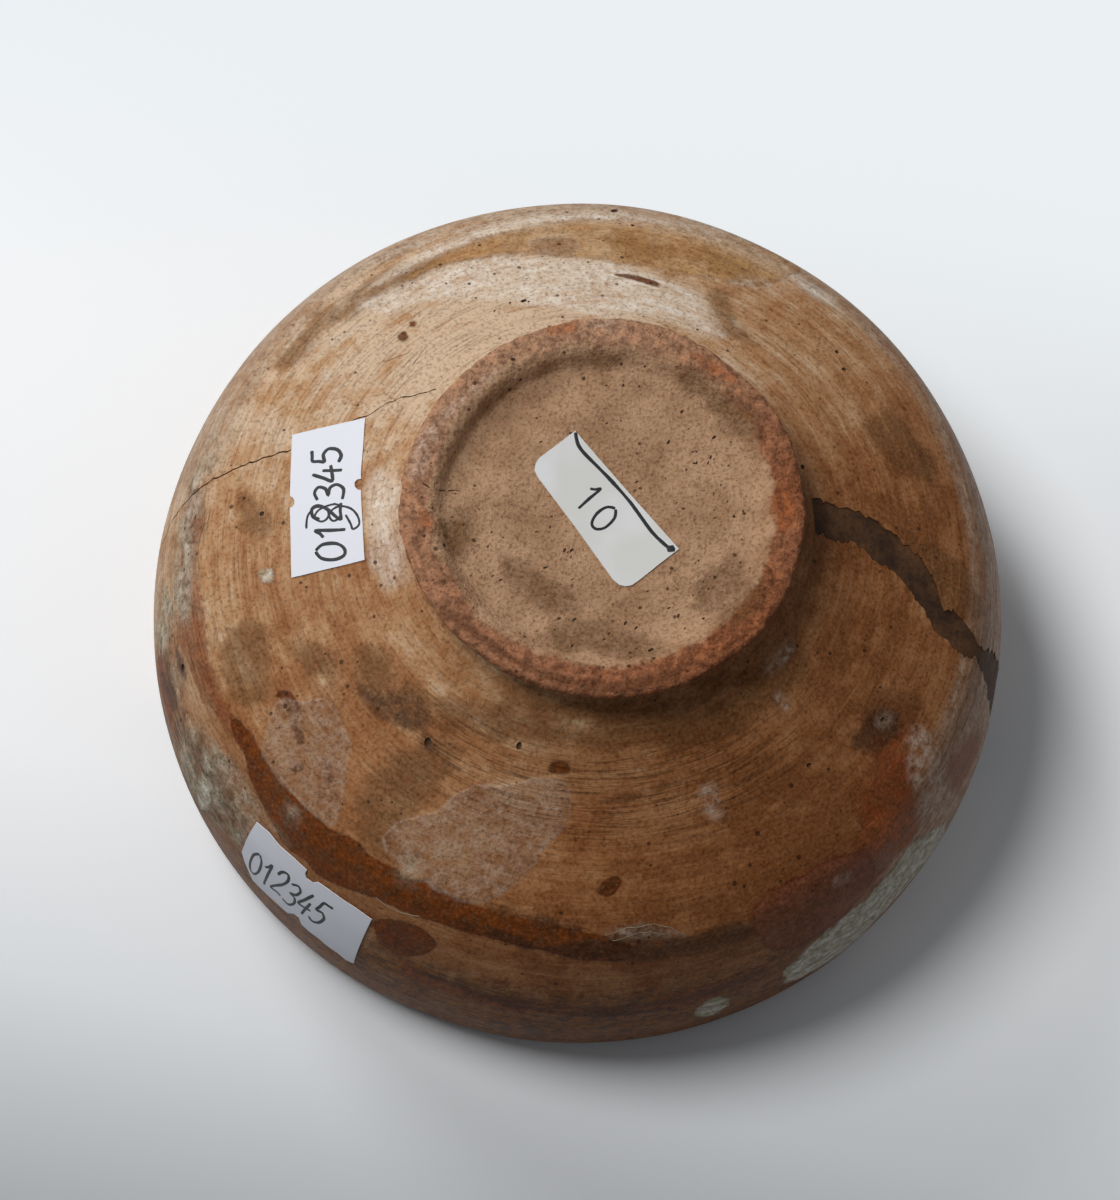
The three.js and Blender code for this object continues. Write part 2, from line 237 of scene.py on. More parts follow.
# Outlines drawn round what lies in or on the glaze, and round painted light and shade. bare: glaze
# flaked off, clay showing. The pale ones: thin glaze, and painted highlight on the far shoulder
# and at the left of the foot. amber: thick runs of dark glaze. rust: red-brown streaks. blush and
# orange: reddened by the fire. pool: a brown pool with a dark line round it. The soot and umber
# ones: dark stains, with painted shade on the near outer edge of the foot's lip and a painted
# shadow of the foot on the wall below it. smudge: dark stains. honey: a deeper stretch of glaze.
# lime and bloom: chalky deposits. smear: a pale haze.
PATCHES = {
    "bare": [
        [[64.5, 222], [62.2, 220.5], [60.4, 220.5], [59.2, 222.5], [55.4, 223.5], [54.3, 226],
         [55.4, 233.5], [58.7, 236], [62.5, 238.5], [65.8, 240], [68.1, 241], [68.5, 238],
         [69, 235.5], [68.7, 233.5], [68.9, 231.5], [69, 228.5], [69, 225.5], [66.8, 224]],
        [[65.4, 248], [63.2, 247.5], [60.2, 248.5], [58.2, 251], [54.9, 254], [52, 254.5],
         [48.9, 258.5], [46.7, 264], [44.7, 269.5], [44.4, 274], [46, 276], [49, 276.5],
         [51.7, 275.5], [54.6, 273.5], [58.5, 271.5], [62.6, 269], [65.7, 266.5], [67.5, 264],
         [67.4, 260], [67.4, 257.5], [66.6, 254.5], [65.5, 251.5]],
        [[60.9, 113], [61.6, 108], [59.4, 104.5], [56.4, 104.5], [54.9, 109], [56.7, 113]],
    ],
    "pale": [
        # Thin pale glaze on the far side, partly a painted highlight.
        [[63.2, 145], [60.8, 140], [59.6, 135], [59.9, 131], [59.3, 127], [58.7, 122],
         [57.7, 118.5], [55.3, 111.5], [53.6, 100.5], [53.2, 93.5], [51.7, 88], [51.3, 82.5],
         [49.8, 78.5], [46.1, 74], [43.1, 69.5], [41.3, 75], [41.2, 82.5], [40.2, 92],
         [39.5, 101], [41.8, 111.5], [46.1, 122.5], [51.8, 132], [55.4, 138.5], [57.4, 143.5]],
        # A painted highlight at the left of the foot's waist, facing the lamps.
        [[39.8, 178], [35.5, 178], [35.5, 204], [35.5, 212], [36.7, 210], [38.4, 201]],
        # A pale strip on the far shoulder, partly a painted highlight.
        [[67, 58], [66.3, 80], [65.6, 100], [64, 120], [63.6, 138], [64.6, 141], [67, 125],
         [69.2, 105], [69.8, 85], [69.6, 62]],
        [[46, 96], [44, 112], [47, 124], [50, 128], [50, 112], [49, 100]],
    ],
    "amber": [
        [[71.2, 218], [69.1, 219.5], [68.6, 224.5], [69, 228.5], [68.9, 231.5], [68.7, 233.5],
         [68.5, 238], [68.4, 241], [66.9, 244], [68.1, 248.5], [67.3, 251.5], [68.4, 253],
         [67.2, 256], [65.7, 256.5], [67, 258], [67.7, 262.5], [67.6, 266.5], [67.7, 272],
         [68, 277], [69.7, 284], [71.2, 287.5], [74.8, 287.5], [74.8, 282.5], [73.6, 277.5],
         [72.7, 271.5], [72.8, 264], [73.7, 256.5], [74.2, 252.5], [74.7, 250], [76.3, 247],
         [78.3, 242], [77.2, 240], [78.6, 236.5], [76.7, 233.5], [75.3, 230], [74.2, 227],
         [72.2, 224], [71.6, 221]],
        [[80.7, 252], [77.6, 253], [75.7, 257], [76.6, 260], [78.7, 261], [82.2, 260],
         [85.4, 257.5], [86.1, 255.5], [85, 253.5]],
        [[60.7, 282.5], [59.5, 284], [59.7, 286], [61, 286], [62.7, 284.5], [62.8, 283],
         [61.8, 282]],
        [[61.2, 232], [60.2, 233], [60.9, 234.5], [62.4, 234]],
        [[62.6, 234.5], [61.7, 235.5], [62.3, 236], [63.1, 235]],
        [[66, 229], [64.2, 230.5], [64.6, 231.5], [66.3, 230.5]],
        [[61.9, 219], [60.3, 219], [58.8, 220.5], [59.2, 223.5], [60.7, 225], [61.3, 228.5],
         [63, 228], [61.4, 224], [60.6, 220.5]],
        [[42.6, 270], [41.2, 273], [41.8, 275.5], [43.2, 275.5], [43.7, 271.5]],
        [[49.2, 88], [50.7, 89], [51.1, 94], [50.5, 98.5], [49.7, 95], [49.1, 91]],
        [[48.9, 143.2], [48.8, 144.8], [50, 145.2], [51, 144.4], [50.8, 143]],
        [[50.6, 139.8], [50.3, 140.9], [51.2, 141.4], [51.8, 140.4]],
    ],
    "rust": [
        [[76.3, 181], [74.6, 180.5], [69.9, 183.5], [68.9, 186], [69.6, 190], [70.4, 194],
         [69.7, 198.5], [69.1, 202.5], [70.1, 207.5], [70.3, 211.5], [70.9, 216.5], [69.8, 219],
         [70.3, 224], [71.3, 230], [75.3, 227.5], [71.9, 224], [72.3, 220], [73.3, 217],
         [75.3, 213.5], [76.5, 209], [77.6, 205.5], [79.7, 202.5], [77.6, 201], [76.2, 198],
         [75, 192.5], [75, 188], [76.4, 183]],
        [[93.5, 200.5], [89.8, 202], [87.6, 205], [87.4, 208], [92.6, 210.5], [100.7, 210],
         [96.8, 207], [96.6, 202.5]],
        [[87.2, 257], [87.5, 259], [88.7, 264.5], [88.6, 271.5], [88.8, 277], [89.3, 285.5],
         [87.6, 291], [86, 296], [85.7, 300], [85.2, 305], [84.9, 307.5], [86.8, 307.5],
         [90, 305.5], [89.5, 300.5], [92.2, 299.5], [93.2, 293], [93.4, 286], [92.7, 277.5],
         [93.5, 272], [94.1, 265], [92.5, 259.5], [91.6, 257]],
    ],
    "blush": [
        [[54.1, -17], [57.7, -15], [63.2, -13.5], [65.5, -16], [64.6, -20.5], [69.4, -24],
         [75.9, -26], [81.2, -26.5], [80, -32], [82.1, -35], [83.6, -37], [79.3, -40],
         [73.1, -37], [66.8, -36], [61.5, -30.5], [58.5, -25.5], [55, -21]],
        [[76, -20], [74.5, -15], [79.4, -9.5], [85.8, -8], [88.5, -12.5], [86.6, -18]],
    ],
    "pool": [
        [[69, 306], [72, 304.5], [78, 305.5], [84, 308], [85, 315], [83, 322], [78, 325],
         [72, 324], [69, 320], [68.3, 312]],
    ],
    "orange": [
        [[27.6, 17], [30.9, 17], [32, 8], [29.2, 1.5], [27.2, 9.5]],
        [[30.4, 195.5], [27.8, 196.5], [27.9, 204], [30.3, 202]],
        [[38.5, 116.5], [32.1, 108.5], [30.2, 110], [31.1, 120.5]],
        [[30.5, 75.5], [32, 67.5], [31.8, 56], [29.6, 59], [29.5, 69.5]],
        [[68, 325], [70, 324], [76, 326], [81, 330], [80, 334], [74, 333], [69, 330]],
    ],
    "soot_and_shade": [
        # Painted shade along the near outer edge of the foot's lip, over its dark edge.
        [[32.3, -135], [30.5, -126.5], [31, -103], [30.9, -85], [30.9, -69], [31.3, -48],
         [31.6, -30], [32.7, -26], [32, -45.5], [33, -69.5], [32.9, -88], [31.7, -106.5],
         [33.2, -129]],
        [[86.8, 260], [88.6, 270], [90.6, 279], [91.4, 290], [91, 302], [88, 309], [86.6, 304],
         [88.6, 296], [88.8, 284], [87.6, 274], [86.2, 265]],
        [[97, 273], [104, 275], [109, 277], [106, 278], [98, 276]],
    ],
    "umber": [
        [[62.4, 184], [58.6, 186], [55.9, 189.5], [55.8, 192.5], [58, 192], [61.3, 189]],
        [[55.7, 211.5], [52.1, 214.5], [50.3, 219.5], [51.8, 224], [53.8, 221.5], [54.6, 217],
         [56.4, 213.5]],
        [[64.3, 160], [66.4, 160.5], [67.3, 158], [66.7, 153], [66.1, 147.5], [65.4, 143],
         [65, 138.5], [63.9, 133.5], [62.8, 129], [60.2, 127.5], [59.5, 133], [60, 138],
         [60.5, 143.5], [62.1, 148.5], [63.4, 152.5], [63.2, 156]],
        [[52.9, 78.5], [53.1, 75.5], [48.4, 70.5], [46.2, 66], [43.9, 67.5], [45.5, 73],
         [47.6, 77]],
        [[67.4, 66], [69.5, 64], [67.8, 64], [66.1, 65]],
        [[74.1, -54], [71.3, -52], [68.5, -48.5], [68.4, -43.5], [70.6, -39], [77.5, -35],
         [80.6, -37.5], [79, -43.5], [84.2, -46.5], [85.6, -50.5], [82, -53.5]],
        [[53.1, -19.5], [56.1, -15], [62.8, -13], [64.9, -14], [62.6, -18], [61.5, -21],
         [58, -23]],
        [[53.3, 15], [58.1, 13.5], [62.3, 13], [66.7, 10.5], [70, 7.5], [73.1, 5], [67.9, 3],
         [64.5, 6], [60, 9], [57.2, 11]],
        # A painted shadow of the foot on the near side of the wall below it.
        [[44.1, 232], [39.7, 243.5], [35.5, 262.5], [35.5, 284], [35.4, 306], [36.9, 321.5],
         [38.2, 335], [38, 341.5], [42.9, 339], [41.9, 324.5], [40.5, 310.5], [39.2, 290.5],
         [38.8, 271.5], [41.6, 252.5]],
        [[52.7, 38.5], [61.5, 38.5], [62.7, 32.5], [65.3, 27.5], [61.7, 24.5], [56.3, 28.5],
         [52.9, 32.5]],
        [[19.5, -142.5], [15.6, -136.5], [16.6, -112.5], [15.5, -93.5], [18.1, -90],
         [19.8, -100.5], [19.7, -115.5], [20.4, -127]],
        [[26.5, 199], [21.5, 193.5], [20.4, 206.5], [25.3, 215.5], [27.1, 209]],
        [[22.7, -102.5], [19.9, -87.5], [22.5, -69], [25, -55.5], [26.9, -59.5], [25.4, -85.5],
         [25.3, -100]],
        [[28.8, 72], [28.8, 55], [30.6, 41.5], [27.2, 38], [25.2, 53], [25.9, 70]],
        [[27.5, 113.5], [26.4, 94.5], [25.4, 96], [25.9, 111]],
        [[18.1, -26.5], [23.3, -7], [29.3, -16], [30, -30], [24.6, -39.5]],
        [[64.9, 114], [65.1, 112], [63, 112], [59.5, 115], [55.6, 117], [59.3, 116.5]],
        [[44, 221], [42, 225], [45, 232], [48, 229], [47, 223]],
        [[78, 206], [80, 204], [84, 205], [88, 203], [90, 206], [84, 209], [79, 209]],
        [[83, 214], [80, 222], [84, 228], [88, 224], [86, 217]],
        [[57, 88], [56, 95], [59, 101], [62, 97], [61, 90]],
        [[60, 70], [58, 78], [61, 83], [64, 80], [63, 73]],
        [[50, 243], [57, 240], [63, 242], [67, 246], [66, 249], [58, 249.5], [52, 250], [47, 252],
         [46, 247]],
        [[58, 5], [55, 9], [58, 14], [66, 12], [70, 8], [67, 4], [62, 3]],
        [[59.6, 206], [64.5, 206], [68, 209], [68.6, 214], [66.4, 219], [62, 217.5], [60.4, 212]],
    ],
    "smudge": [
        [[69.7, 283.5], [68.5, 287], [68.3, 291], [71, 294.5], [71.3, 299.5], [71.9, 304],
         [74.1, 305], [75.7, 303.5], [76.4, 298], [75.8, 291.5], [74.2, 281.5], [73.5, 274],
         [72.8, 271], [70.6, 279]],
        [[49.2, 226.5], [47.2, 229.5], [43.6, 234], [42.4, 240], [43.6, 242.5], [46.9, 242.5],
         [48.8, 239], [48.7, 235.5], [49.4, 231.5], [49.6, 228.5]],
        [[56, 332], [55, 337], [57, 342], [61, 343], [62, 338], [60, 333]],
        [[88, 258], [87.5, 266], [89, 272], [91, 280], [90, 286], [92, 294], [94, 290], [93, 280],
         [91.5, 270], [90, 262]],
        [[46.5, 242], [46.8, 246.5], [47.8, 247], [47.6, 243]],
        [[39.8, 252], [40, 258], [41, 264], [41.4, 268], [40.6, 262]],
        [[80, 203], [77.5, 207], [79, 210], [83, 207]],
        [[92, 203], [86, 207], [84, 209], [88, 211], [93, 207]],
        [[70.5, 262], [72, 266], [73, 275], [72.6, 282], [71.6, 274], [70.9, 268]],
        [[66.8, 264], [67.2, 270], [68.3, 276], [69.2, 283], [68, 280], [66.9, 272]],
    ],
    "honey": [
        [[60.2, 134.5], [61.7, 134.5], [62.2, 129], [63.1, 123.5], [64.9, 114], [65.3, 107.5],
         [65.8, 100.5], [67.8, 90.5], [68.5, 82], [72, 73.5], [74.8, 68], [60.4, 69.5],
         [57.8, 76.5], [54.1, 83.5], [53.9, 88.5], [54.2, 94], [54.2, 100.5], [56, 111.5],
         [58.6, 118], [59.1, 123], [60.2, 127.5], [60.5, 132.5]],
    ],
    "lime": [
        [[91.6, -20], [83.4, -26], [82.3, -29.5], [84.4, -35.5], [84.7, -40.5], [86, -44.5],
         [88.4, -48], [93.4, -51], [100.7, -51], [103.3, -47], [106, -42.5], [106, -37],
         [98.8, -32.5], [101.4, -25.5], [100.1, -20]],
        [[94.5, 297], [93.2, 299], [95.7, 302], [99.8, 301], [105.4, 301], [101.2, 297.5]],
        [[55.9, 199], [56.4, 200], [57.3, 199.5], [57.7, 198.5], [57.1, 198], [56.2, 198]],
        [[89.4, 222.5], [95.8, 222.5], [102.5, 221], [98.6, 219.5], [91.1, 220], [87.5, 221]],
        [[100, 331], [97, 336], [92, 340], [86, 334], [84.5, 329], [86, 322], [92, 318],
         [98, 322]],
    ],
    "bloom": [
        [[89.8, 191.5], [82.9, 193.5], [77.9, 197.5], [78.8, 201], [82.3, 202], [85.3, 203],
         [91.5, 201], [96.9, 196.5], [90.3, 195]],
        [[96.9, 213], [81.7, 214.5], [78.4, 217], [76.1, 221.5], [75.2, 224.5], [76, 227.5],
         [76.7, 231], [76.7, 234], [78.1, 237], [79.6, 232], [80.2, 231], [92.4, 231],
         [94.1, 228], [98.7, 223], [105.6, 217], [102.5, 214.5]],
        [[70.5, 190], [71.5, 200], [75, 203], [79, 200], [80, 190], [77, 178], [73, 170],
         [70.5, 174]],
        [[70.2, 235.5], [72.1, 236], [73.7, 235], [73, 233.5], [71, 233.5], [69.7, 234.5]],
        [[65.5, 254.5], [67.9, 255], [68.8, 253.5], [67.2, 252], [64.8, 251.5], [63.9, 253]],
    ],
    "smear": [
        [[63.6, 159], [64, 155], [62.3, 152], [59.8, 150.5], [58.4, 145], [56.8, 145],
         [57.7, 150], [59, 154], [61.4, 157.5], [62.7, 159.5]],
        [[57.1, 161.5], [58, 159.5], [57.2, 157.5], [55.1, 157.5], [53.1, 159.5], [51.6, 161.5],
         [52.8, 162], [54.6, 160], [55.9, 160], [55.9, 162]],
        [[71.4, 138.5], [70.4, 134], [68.5, 127], [68.4, 118], [69, 106.5], [69.3, 97.5],
         [68.7, 90.5], [69.6, 81.5], [70.1, 74.5], [70, 69.5], [68.3, 69], [67.6, 74.5],
         [66.9, 81], [66.2, 90.5], [66.2, 97.5], [66.1, 106.5], [65.7, 118.5], [66, 128],
         [68.1, 135], [69.4, 139.5]],
        [[56.4, 77], [60.9, 75], [63.3, 70.5], [62.1, 66.5], [59.5, 68.5], [58, 72.5]],
        [[47.3, -57.5], [47.6, -54], [49.8, -54], [53.1, -55.5], [52.9, -57.5], [49.9, -58]],
        [[32.1, 185.5], [32.2, 171.5], [30.2, 162], [29.4, 143.5], [28.9, 137], [28.1, 140],
         [28.4, 155], [29.6, 169.5], [29.3, 185]],
        [[32.6, 107.5], [33, 97.5], [31.2, 96.5], [30.8, 107]],
        [[63.6, -19.5], [65.2, -15.5], [72, -19], [83.3, -18.5], [97.5, -17], [81.4, -25.5],
         [72.8, -25.5], [67, -23]],
        [[47.6, -57], [47.4, -55], [52.2, -54], [54.1, -55.5], [52.8, -57.5]],
        [[58.3, 339], [57.2, 340.5], [58.6, 342], [59.8, 340.5]],
        [[73, 317], [72.5, 320], [75, 321], [76, 318.5]],
        [[41, 327], [43, 326], [45, 328], [43.5, 329.5], [41, 329]],
        [[36.5, 330], [37, 341], [38.5, 340], [38, 331]],
        [[68.6, 283], [68, 288], [69.5, 293], [71.5, 296], [70.5, 290], [69.6, 285]],
    ],
}

# Bands along the rim, partly the glaze's own wear and partly painted light and shade: the far and
# right sides lighter with painted light, the near side darker with painted shade. [how far out it
# starts, its middle direction, half its width in degrees, degrees that count as a millimetre at
# its ends].
RIM_LIGHT_SHADE_AND_WEAR = {"far_edge": [67.6, 80, 100, 2], "near_rim": [84, 262, 62, 1],
             "side_edge": [74, 2, 40, 2]}

# Fine cracks in the glaze, [width, corners], and lines of lime standing on it.
CRACKS = [
    [0.2, [[48.3, 151], [47.4, 149], [46.4, 146.5], [46.5, 145]]],
    [0.15, [[44.5, 150], [44.9, 148], [45.1, 145.5], [45.2, 143]]],
    [0.15, [[43.4, 148.5], [44, 146], [44.9, 142]]],
    [0.15, [[55.4, -136.5], [55.1, -133.5], [55.1, -129], [55.4, -126]]],
    [0.15, [[44, -138], [43.1, -137], [41.5, -137]]],
    [0.2, [[32.8, -77], [32.6, -72.5], [32.7, -65], [32.6, -61.5]]],
    [0.35, [[29.4, -173], [27.8, -171], [25.6, -173], [23.4, -174.5]]],
    [0.12, [[46.6, 160.5], [43.8, 158], [41.5, 158], [39.7, 159.5], [40, 161]]],
    [0.15, [[37.1, -114], [39.2, -111.5], [40.5, -107.5], [41.5, -103.5]]],
    [0.12, [[38.7, -89.5], [36.9, -89.5], [35.8, -87.5]]],
    [0.15, [[41.4, -84.5], [41.1, -81], [40.8, -74.5], [40.3, -69.5], [40, -64.5]]],
    [0.12, [[53, -95.5], [51.1, -92.5], [50.9, -88], [50.5, -83], [50.4, -77], [50.4, -72],
            [49.5, -66.5]]],
    [0.15, [[38.8, -43], [38.2, -37], [38.4, -31.5]]],
]

LIME_LINES = [
    [0.15, [[69.2, -174.5], [69.2, -172], [69.9, -169.5], [70, -166.5], [69.7, -164],
            [69.6, -161.5]]],
    [0.1, [[68, -174], [68.4, -171], [68.8, -168]]],
    [0.2, [[74.3, -109], [74.7, -107.5], [74.6, -105.5], [73.9, -103.5], [73.5, -102.5]]],
    [0.16, [[69.4, -76.5], [68.2, -73.5], [68, -69.5], [69.1, -67], [71.2, -65]]],
    [0.12, [[70.4, -75.5], [69.3, -72.5], [69.2, -70], [70.2, -68]]],
]

# Bare clay ends this far out on the foot, and its reddened lip starts here.
CLAY_ENDS = 34.1
LIP_STARTS = 28

# How deep and how shaded the glaze is every 20 degrees round the bowl: 0 is thin and pale, 1 thick
# and dark. Besides the glaze's depth it holds painted shade on the near right side, away from the
# lamps, and painted light on the far left side, towards them.
GLAZE_DEPTH_AND_SHADE = [0.8, 0.9, 0.66, 0.36, 0.18, 0.07, 0.03, 0.06, 0.15, 0.25, 0.35, 0.46, 0.58,
                0.66, 0.78, 0.84, 0.92, 0.9, 0.78]

# Pits, [distance out, direction, width], and how many small ones are scattered inside the foot.
PITS = [
    [44.9, 118, 0.9], [44.4, 117, 0.5], [45.3, 121, 0.5],
    [44.6, 125, 0.5], [69.2, 98, 1.4], [64.8, 95, 0.7], [58.2, 53, 0.8], [56.6, 49.5, 0.9],
    [36, 30, 0.9], [40.6, -97, 1.2], [47.1, -115, 1.6], [57.3, -74, 0.4], [58.3, -69, 0.5],
    [53.7, -35.5, 0.5], [55.2, -15.5, 0.6], [49.2, 6, 0.6], [53.7, -36, 0.7], [79.3, -153, 1.8],
    [87.4, -148, 0.9], [61.6, -175.5, 0.6], [57.9, -172.5, 0.9], [50.9, -142.5, 0.6],
    [46.7, -137.5, 0.6], [68, -132.5, 0.6], [50.3, -156.5, 0.5], [22.3, 92.5, 0.5],
    [17.8, 40.5, 0.6], [28.1, 23, 0.5], [21.6, -20.5, 0.6], [21.6, 9.5, 0.6], [24.2, -10, 0.5],
    [25.8, -61, 1], [28.9, 132.5, 0.8], [17.4, 41, 0.5], [22.5, 138, 0.5], [23.1, 12, 0.5],
    [21.9, -26.5, 0.5], [26.9, -151, 0.8], [31.8, -84.5, 0.8], [58.4, -20, 0.9],
]

SMALL_PITS = 120
PIT_LENGTH = 1.15
SMALL_PIT_LENGTH = 1.9
SMALL_PIT_TURN = 62

# The labels' outlines and the pen marks on them, with the paper's thickness and its gap to the
# bowl's mean surface, which keeps it clear of the throwing rings.
PAPER = 0.12
PAPER_GAP = 0.12
INK_RISE = 0.02
INK_FLATNESS = 0.08
WALL_LABEL = [[55.9, 172.2], [44.2, 165.1], [41.8, 173], [40.8, 178.7], [40.5, -179.8],
              [40.4, -179.5], [41.1, -179.3], [41.5, -178.5], [41.3, -177.5], [40.7, -176.7],
              [40, -176.5], [40, -176.4], [39.8, -174.8], [39.1, -166], [39.3, -158.3],
              [52.5, -159.1], [52.2, -168.7], [52.6, -172.8], [52.6, -173.1], [52.1, -173.4],
              [51.9, -173.9], [52, -174.6], [52.4, -175.2], [52.9, -175.5], [53, -175.8],
              [53.9, 179.1]]
RIM_LABEL = [[79.8, -128.9], [92.4, -129.2], [99.2, -126.5], [98.2, -123.3], [97.5, -119.9],
             [95, -118.9], [94.8, -118], [97.1, -117.5], [97.5, -116], [97.3, -114.5],
             [97.9, -113.4], [98, -111.6], [98.8, -110.3], [98.2, -109.1], [88.9, -108.8],
             [79.4, -108.4], [79, -111.1], [79.1, -113.1], [79.1, -115.3], [79.4, -117.2],
             [80.5, -117.8], [80.7, -118.8], [79.9, -119.3], [78.8, -119.3], [78.8, -121.9],
             [79.2, -124.3], [78.9, -126.6]]
FOOT_LABEL = [[14.4, 119.4], [5.4, 51.5], [14.2, -16.2], [13.2, -32.8], [13.6, -51.5], [14, -58.1],
              [13.9, -62.6], [13.4, -66.6], [12.4, -70.1], [5.4, -132.1], [11.7, 165],
              [12.8, 161.3], [13.3, 156.9], [13.5, 151.6], [13.4, 134.8]]
PEN_LINE = [[14.1, 119.5], [12.1, 120.7], [10, 117.4], [6, 93.9], [4.9, 27.4], [9, -13.1],
            [12.8, -19.3]]
PEN_BLOT = [[12.7, -16.9], [13.4, -20.8]]
SCRIBBLE = [[49.3, -168.4], [49.2, -171], [47.9, -172.8], [45.9, -172.4], [45.4, -170.5],
            [46.5, -169.5], [47.9, -170.6], [47.1, -172.3], [44.5, -173.3], [43.3, -172.2],
            [43.4, -170], [44.6, -169.4], [45.3, -171.2], [43.7, -172.7], [41.4, -171.9],
            [40, -169.6], [39.8, -167.5], [40.9, -166.7], [41.3, -168.1], [42.3, -170.5]]


FAR_OUTSIDE = -9.0


def in_plan(corners):
    """Corners given by distance and direction, as x and y of the plan."""
    return [[r * math.cos(math.radians(a)), r * math.sin(math.radians(a))] for r, a in corners]


def inside_by(plan, outline):
    """How many millimetres inside an outline each point of the plan is, less than 0 outside."""
    corners = np.array(in_plan(outline))
    # Each corner is cut off once, so that the outline turns softly.
    after = np.roll(corners, -1, 0)
    corners = np.stack([corners * 0.75 + after * 0.25, corners * 0.25 + after * 0.75], 1)
    corners = corners.reshape(-1, 2)
    result = np.full(len(plan), FAR_OUTSIDE)
    middle = corners.mean(0)
    reach = np.linalg.norm(corners - middle, axis=1).max() + 6
    near = np.linalg.norm(plan - middle, axis=1) < reach
    here = plan[near]
    best = np.full(len(here), 1e9)
    inside = np.zeros(len(here), bool)
    for a, b in zip(corners, np.roll(corners, -1, 0)):
        edge = b - a
        share = np.clip((here - a) @ edge / (edge @ edge), 0, 1)
        best = np.minimum(best, np.linalg.norm(here - a - share[:, None] * edge, axis=1))
        if a[1] != b[1]:
            crosses = (a[1] > here[:, 1]) != (b[1] > here[:, 1])
            inside ^= crosses & (here[:, 0] < a[0] + edge[0] * (here[:, 1] - a[1]) / edge[1])
    result[near] = np.where(inside, best, -best)
    return result


def plan_of(points):
    """Each point's place on the outside spread flat, and how far along the section it is."""
    along = on_section(points)[0]
    out = spread(along, points)
    turn = np.arctan2(points[:, 1], points[:, 0])
    return np.c_[out * np.cos(turn), out * np.sin(turn)], out, turn, along


def rough(points, size, seed):
    """Soft noise between -1 and 1 whose grains are this many millimetres across."""
    scaled = points / size + seed * 17.3
    return np.array([noise.noise(p) for p in scaled.tolist()])


def within(turn, low, high, soft):
    """1 between two directions, falling to 0 over some degrees beyond them."""
    middle, half = math.radians((low + high) / 2), math.radians((high - low) / 2)
    away = np.abs((turn - middle + math.pi) % (2 * math.pi) - math.pi)
    return smooth(half + math.radians(soft), half, away)


# Hand work on the turned form: how far apart its marks are, and how far they lift the surface.
RING_SPAN, RING_LIFT = 5.0, 0.12
SWAY_SPAN, SWAY_LIFT = 26, 0.25
TOOL_SPAN, TOOL_LIFT, CHATTER_LIFT = 0.9, 0.02, 0.08
CLAY_SPAN, CLAY_LIFT = 1.3, 0.05
LIP_SPAN, LIP_LIFT = 1.2, 0.3
LIP_WAVE_SPAN, LIP_WAVE_LIFT = 6, 0.4
FINGER_DEPTH = 1.2
PRESSED_BY = 0.9
CHATTER_FROM, CHATTER_TO = -110, -55


def hand_work(points, out, turn):
    """How far throwing rings and slow unevenness lift the wall."""
    rings = np.c_[out / RING_SPAN, np.cos(turn) * 0.9, np.sin(turn) * 0.9]
    lift = RING_LIFT * rough(rings, 1, 2) + SWAY_LIFT * rough(points, SWAY_SPAN, 3)
    return smooth(35, 40, out) * lift


# Throwing rings, the tool's lines and its chatter on the near side, and the grainy worn foot.
points, facing = points_of(bowl), normals_of(bowl)
plan, out, turn, along = plan_of(points)
outside = along < RIM_ALONG
lift = hand_work(points, out, turn)
lines = np.c_[out / TOOL_SPAN, np.cos(turn) * 1.2, np.sin(turn) * 1.2]
chatter = within(turn, CHATTER_FROM, CHATTER_TO, 25) * smooth(38, 42, out) * smooth(62, 52, out)
lift += smooth(35, 40, out) * (TOOL_LIFT + CHATTER_LIFT * chatter) * rough(lines, 1, 1)
foot = outside * smooth(35.5, 33, out)
lip = outside * smooth(25.5, 28, out) * smooth(35, 33.5, out)
lift += foot * CLAY_LIFT * rough(points, CLAY_SPAN, 4)
lift += lip * (LIP_LIFT * rough(points, LIP_SPAN, 5)
               + LIP_WAVE_LIFT * rough(points, LIP_WAVE_SPAN, 6))
# A finger left a hollow at the edge of the dish, and the foot is a little flattened behind it.
finger = within(turn, 122, 168, 22) * smooth(14, 23.5, out) * smooth(27.2, 25.6, out)
points[:, 2] -= outside * FINGER_DEPTH * finger
pressed = outside * within(turn, 128, 168, 26) * smooth(18, 32, out) * smooth(41, 36, out)
points[:, :2] *= 1 - PRESSED_BY * pressed[:, None] / np.maximum(out, 1)[:, None]
put_points(bowl, points + facing * lift[:, None])


def break_line(corners, jag, aside):
    """A ragged line in plan from the foot joint outwards, set aside by this many millimetres."""
    line = []
    for (share, angle), (next_share, next_angle) in zip(corners, corners[1:]):
        for t in np.linspace(0, 1, 8, endpoint=False):
            radius = FOOT_JOINT + WALL_REACH * (share + t * (next_share - share))
            here = angle + t * (next_angle - angle)
            spot = Vector((radius * 0.9, angle, 0))
            here += math.degrees(jag * noise.fractal(spot, 0.6, 2, 4) / radius)
            line.append([radius, here + math.degrees(aside / radius)])
    line.append([FOOT_JOINT + WALL_REACH * corners[-1][0], corners[-1][1]])
    return line


def block(name, corners, bottom, height):
    """An upright block over an outline in plan, for cutting shells and sheets."""
    bpy.ops.object.select_all(action="DESELECT")
    bpy.ops.mesh.primitive_circle_add(vertices=len(corners), radius=0.05, fill_type="NGON",
                                      location=(0, 0, 0))
    piece = bpy.context.active_object
    piece.name = name
    put_points(piece, np.array([[x, y, bottom] for x, y in corners]))
    bpy.ops.object.mode_set(mode="EDIT")
    bpy.ops.mesh.select_all(action="SELECT")
    bpy.ops.mesh.extrude_region_move(TRANSFORM_OT_translate={"value": (0, 0, height * MM)})
    bpy.ops.mesh.select_all(action="SELECT")
    bpy.ops.mesh.normals_make_consistent(inside=False)
    bpy.ops.object.mode_set(mode="OBJECT")
    return piece


BEYOND_RIM = 86


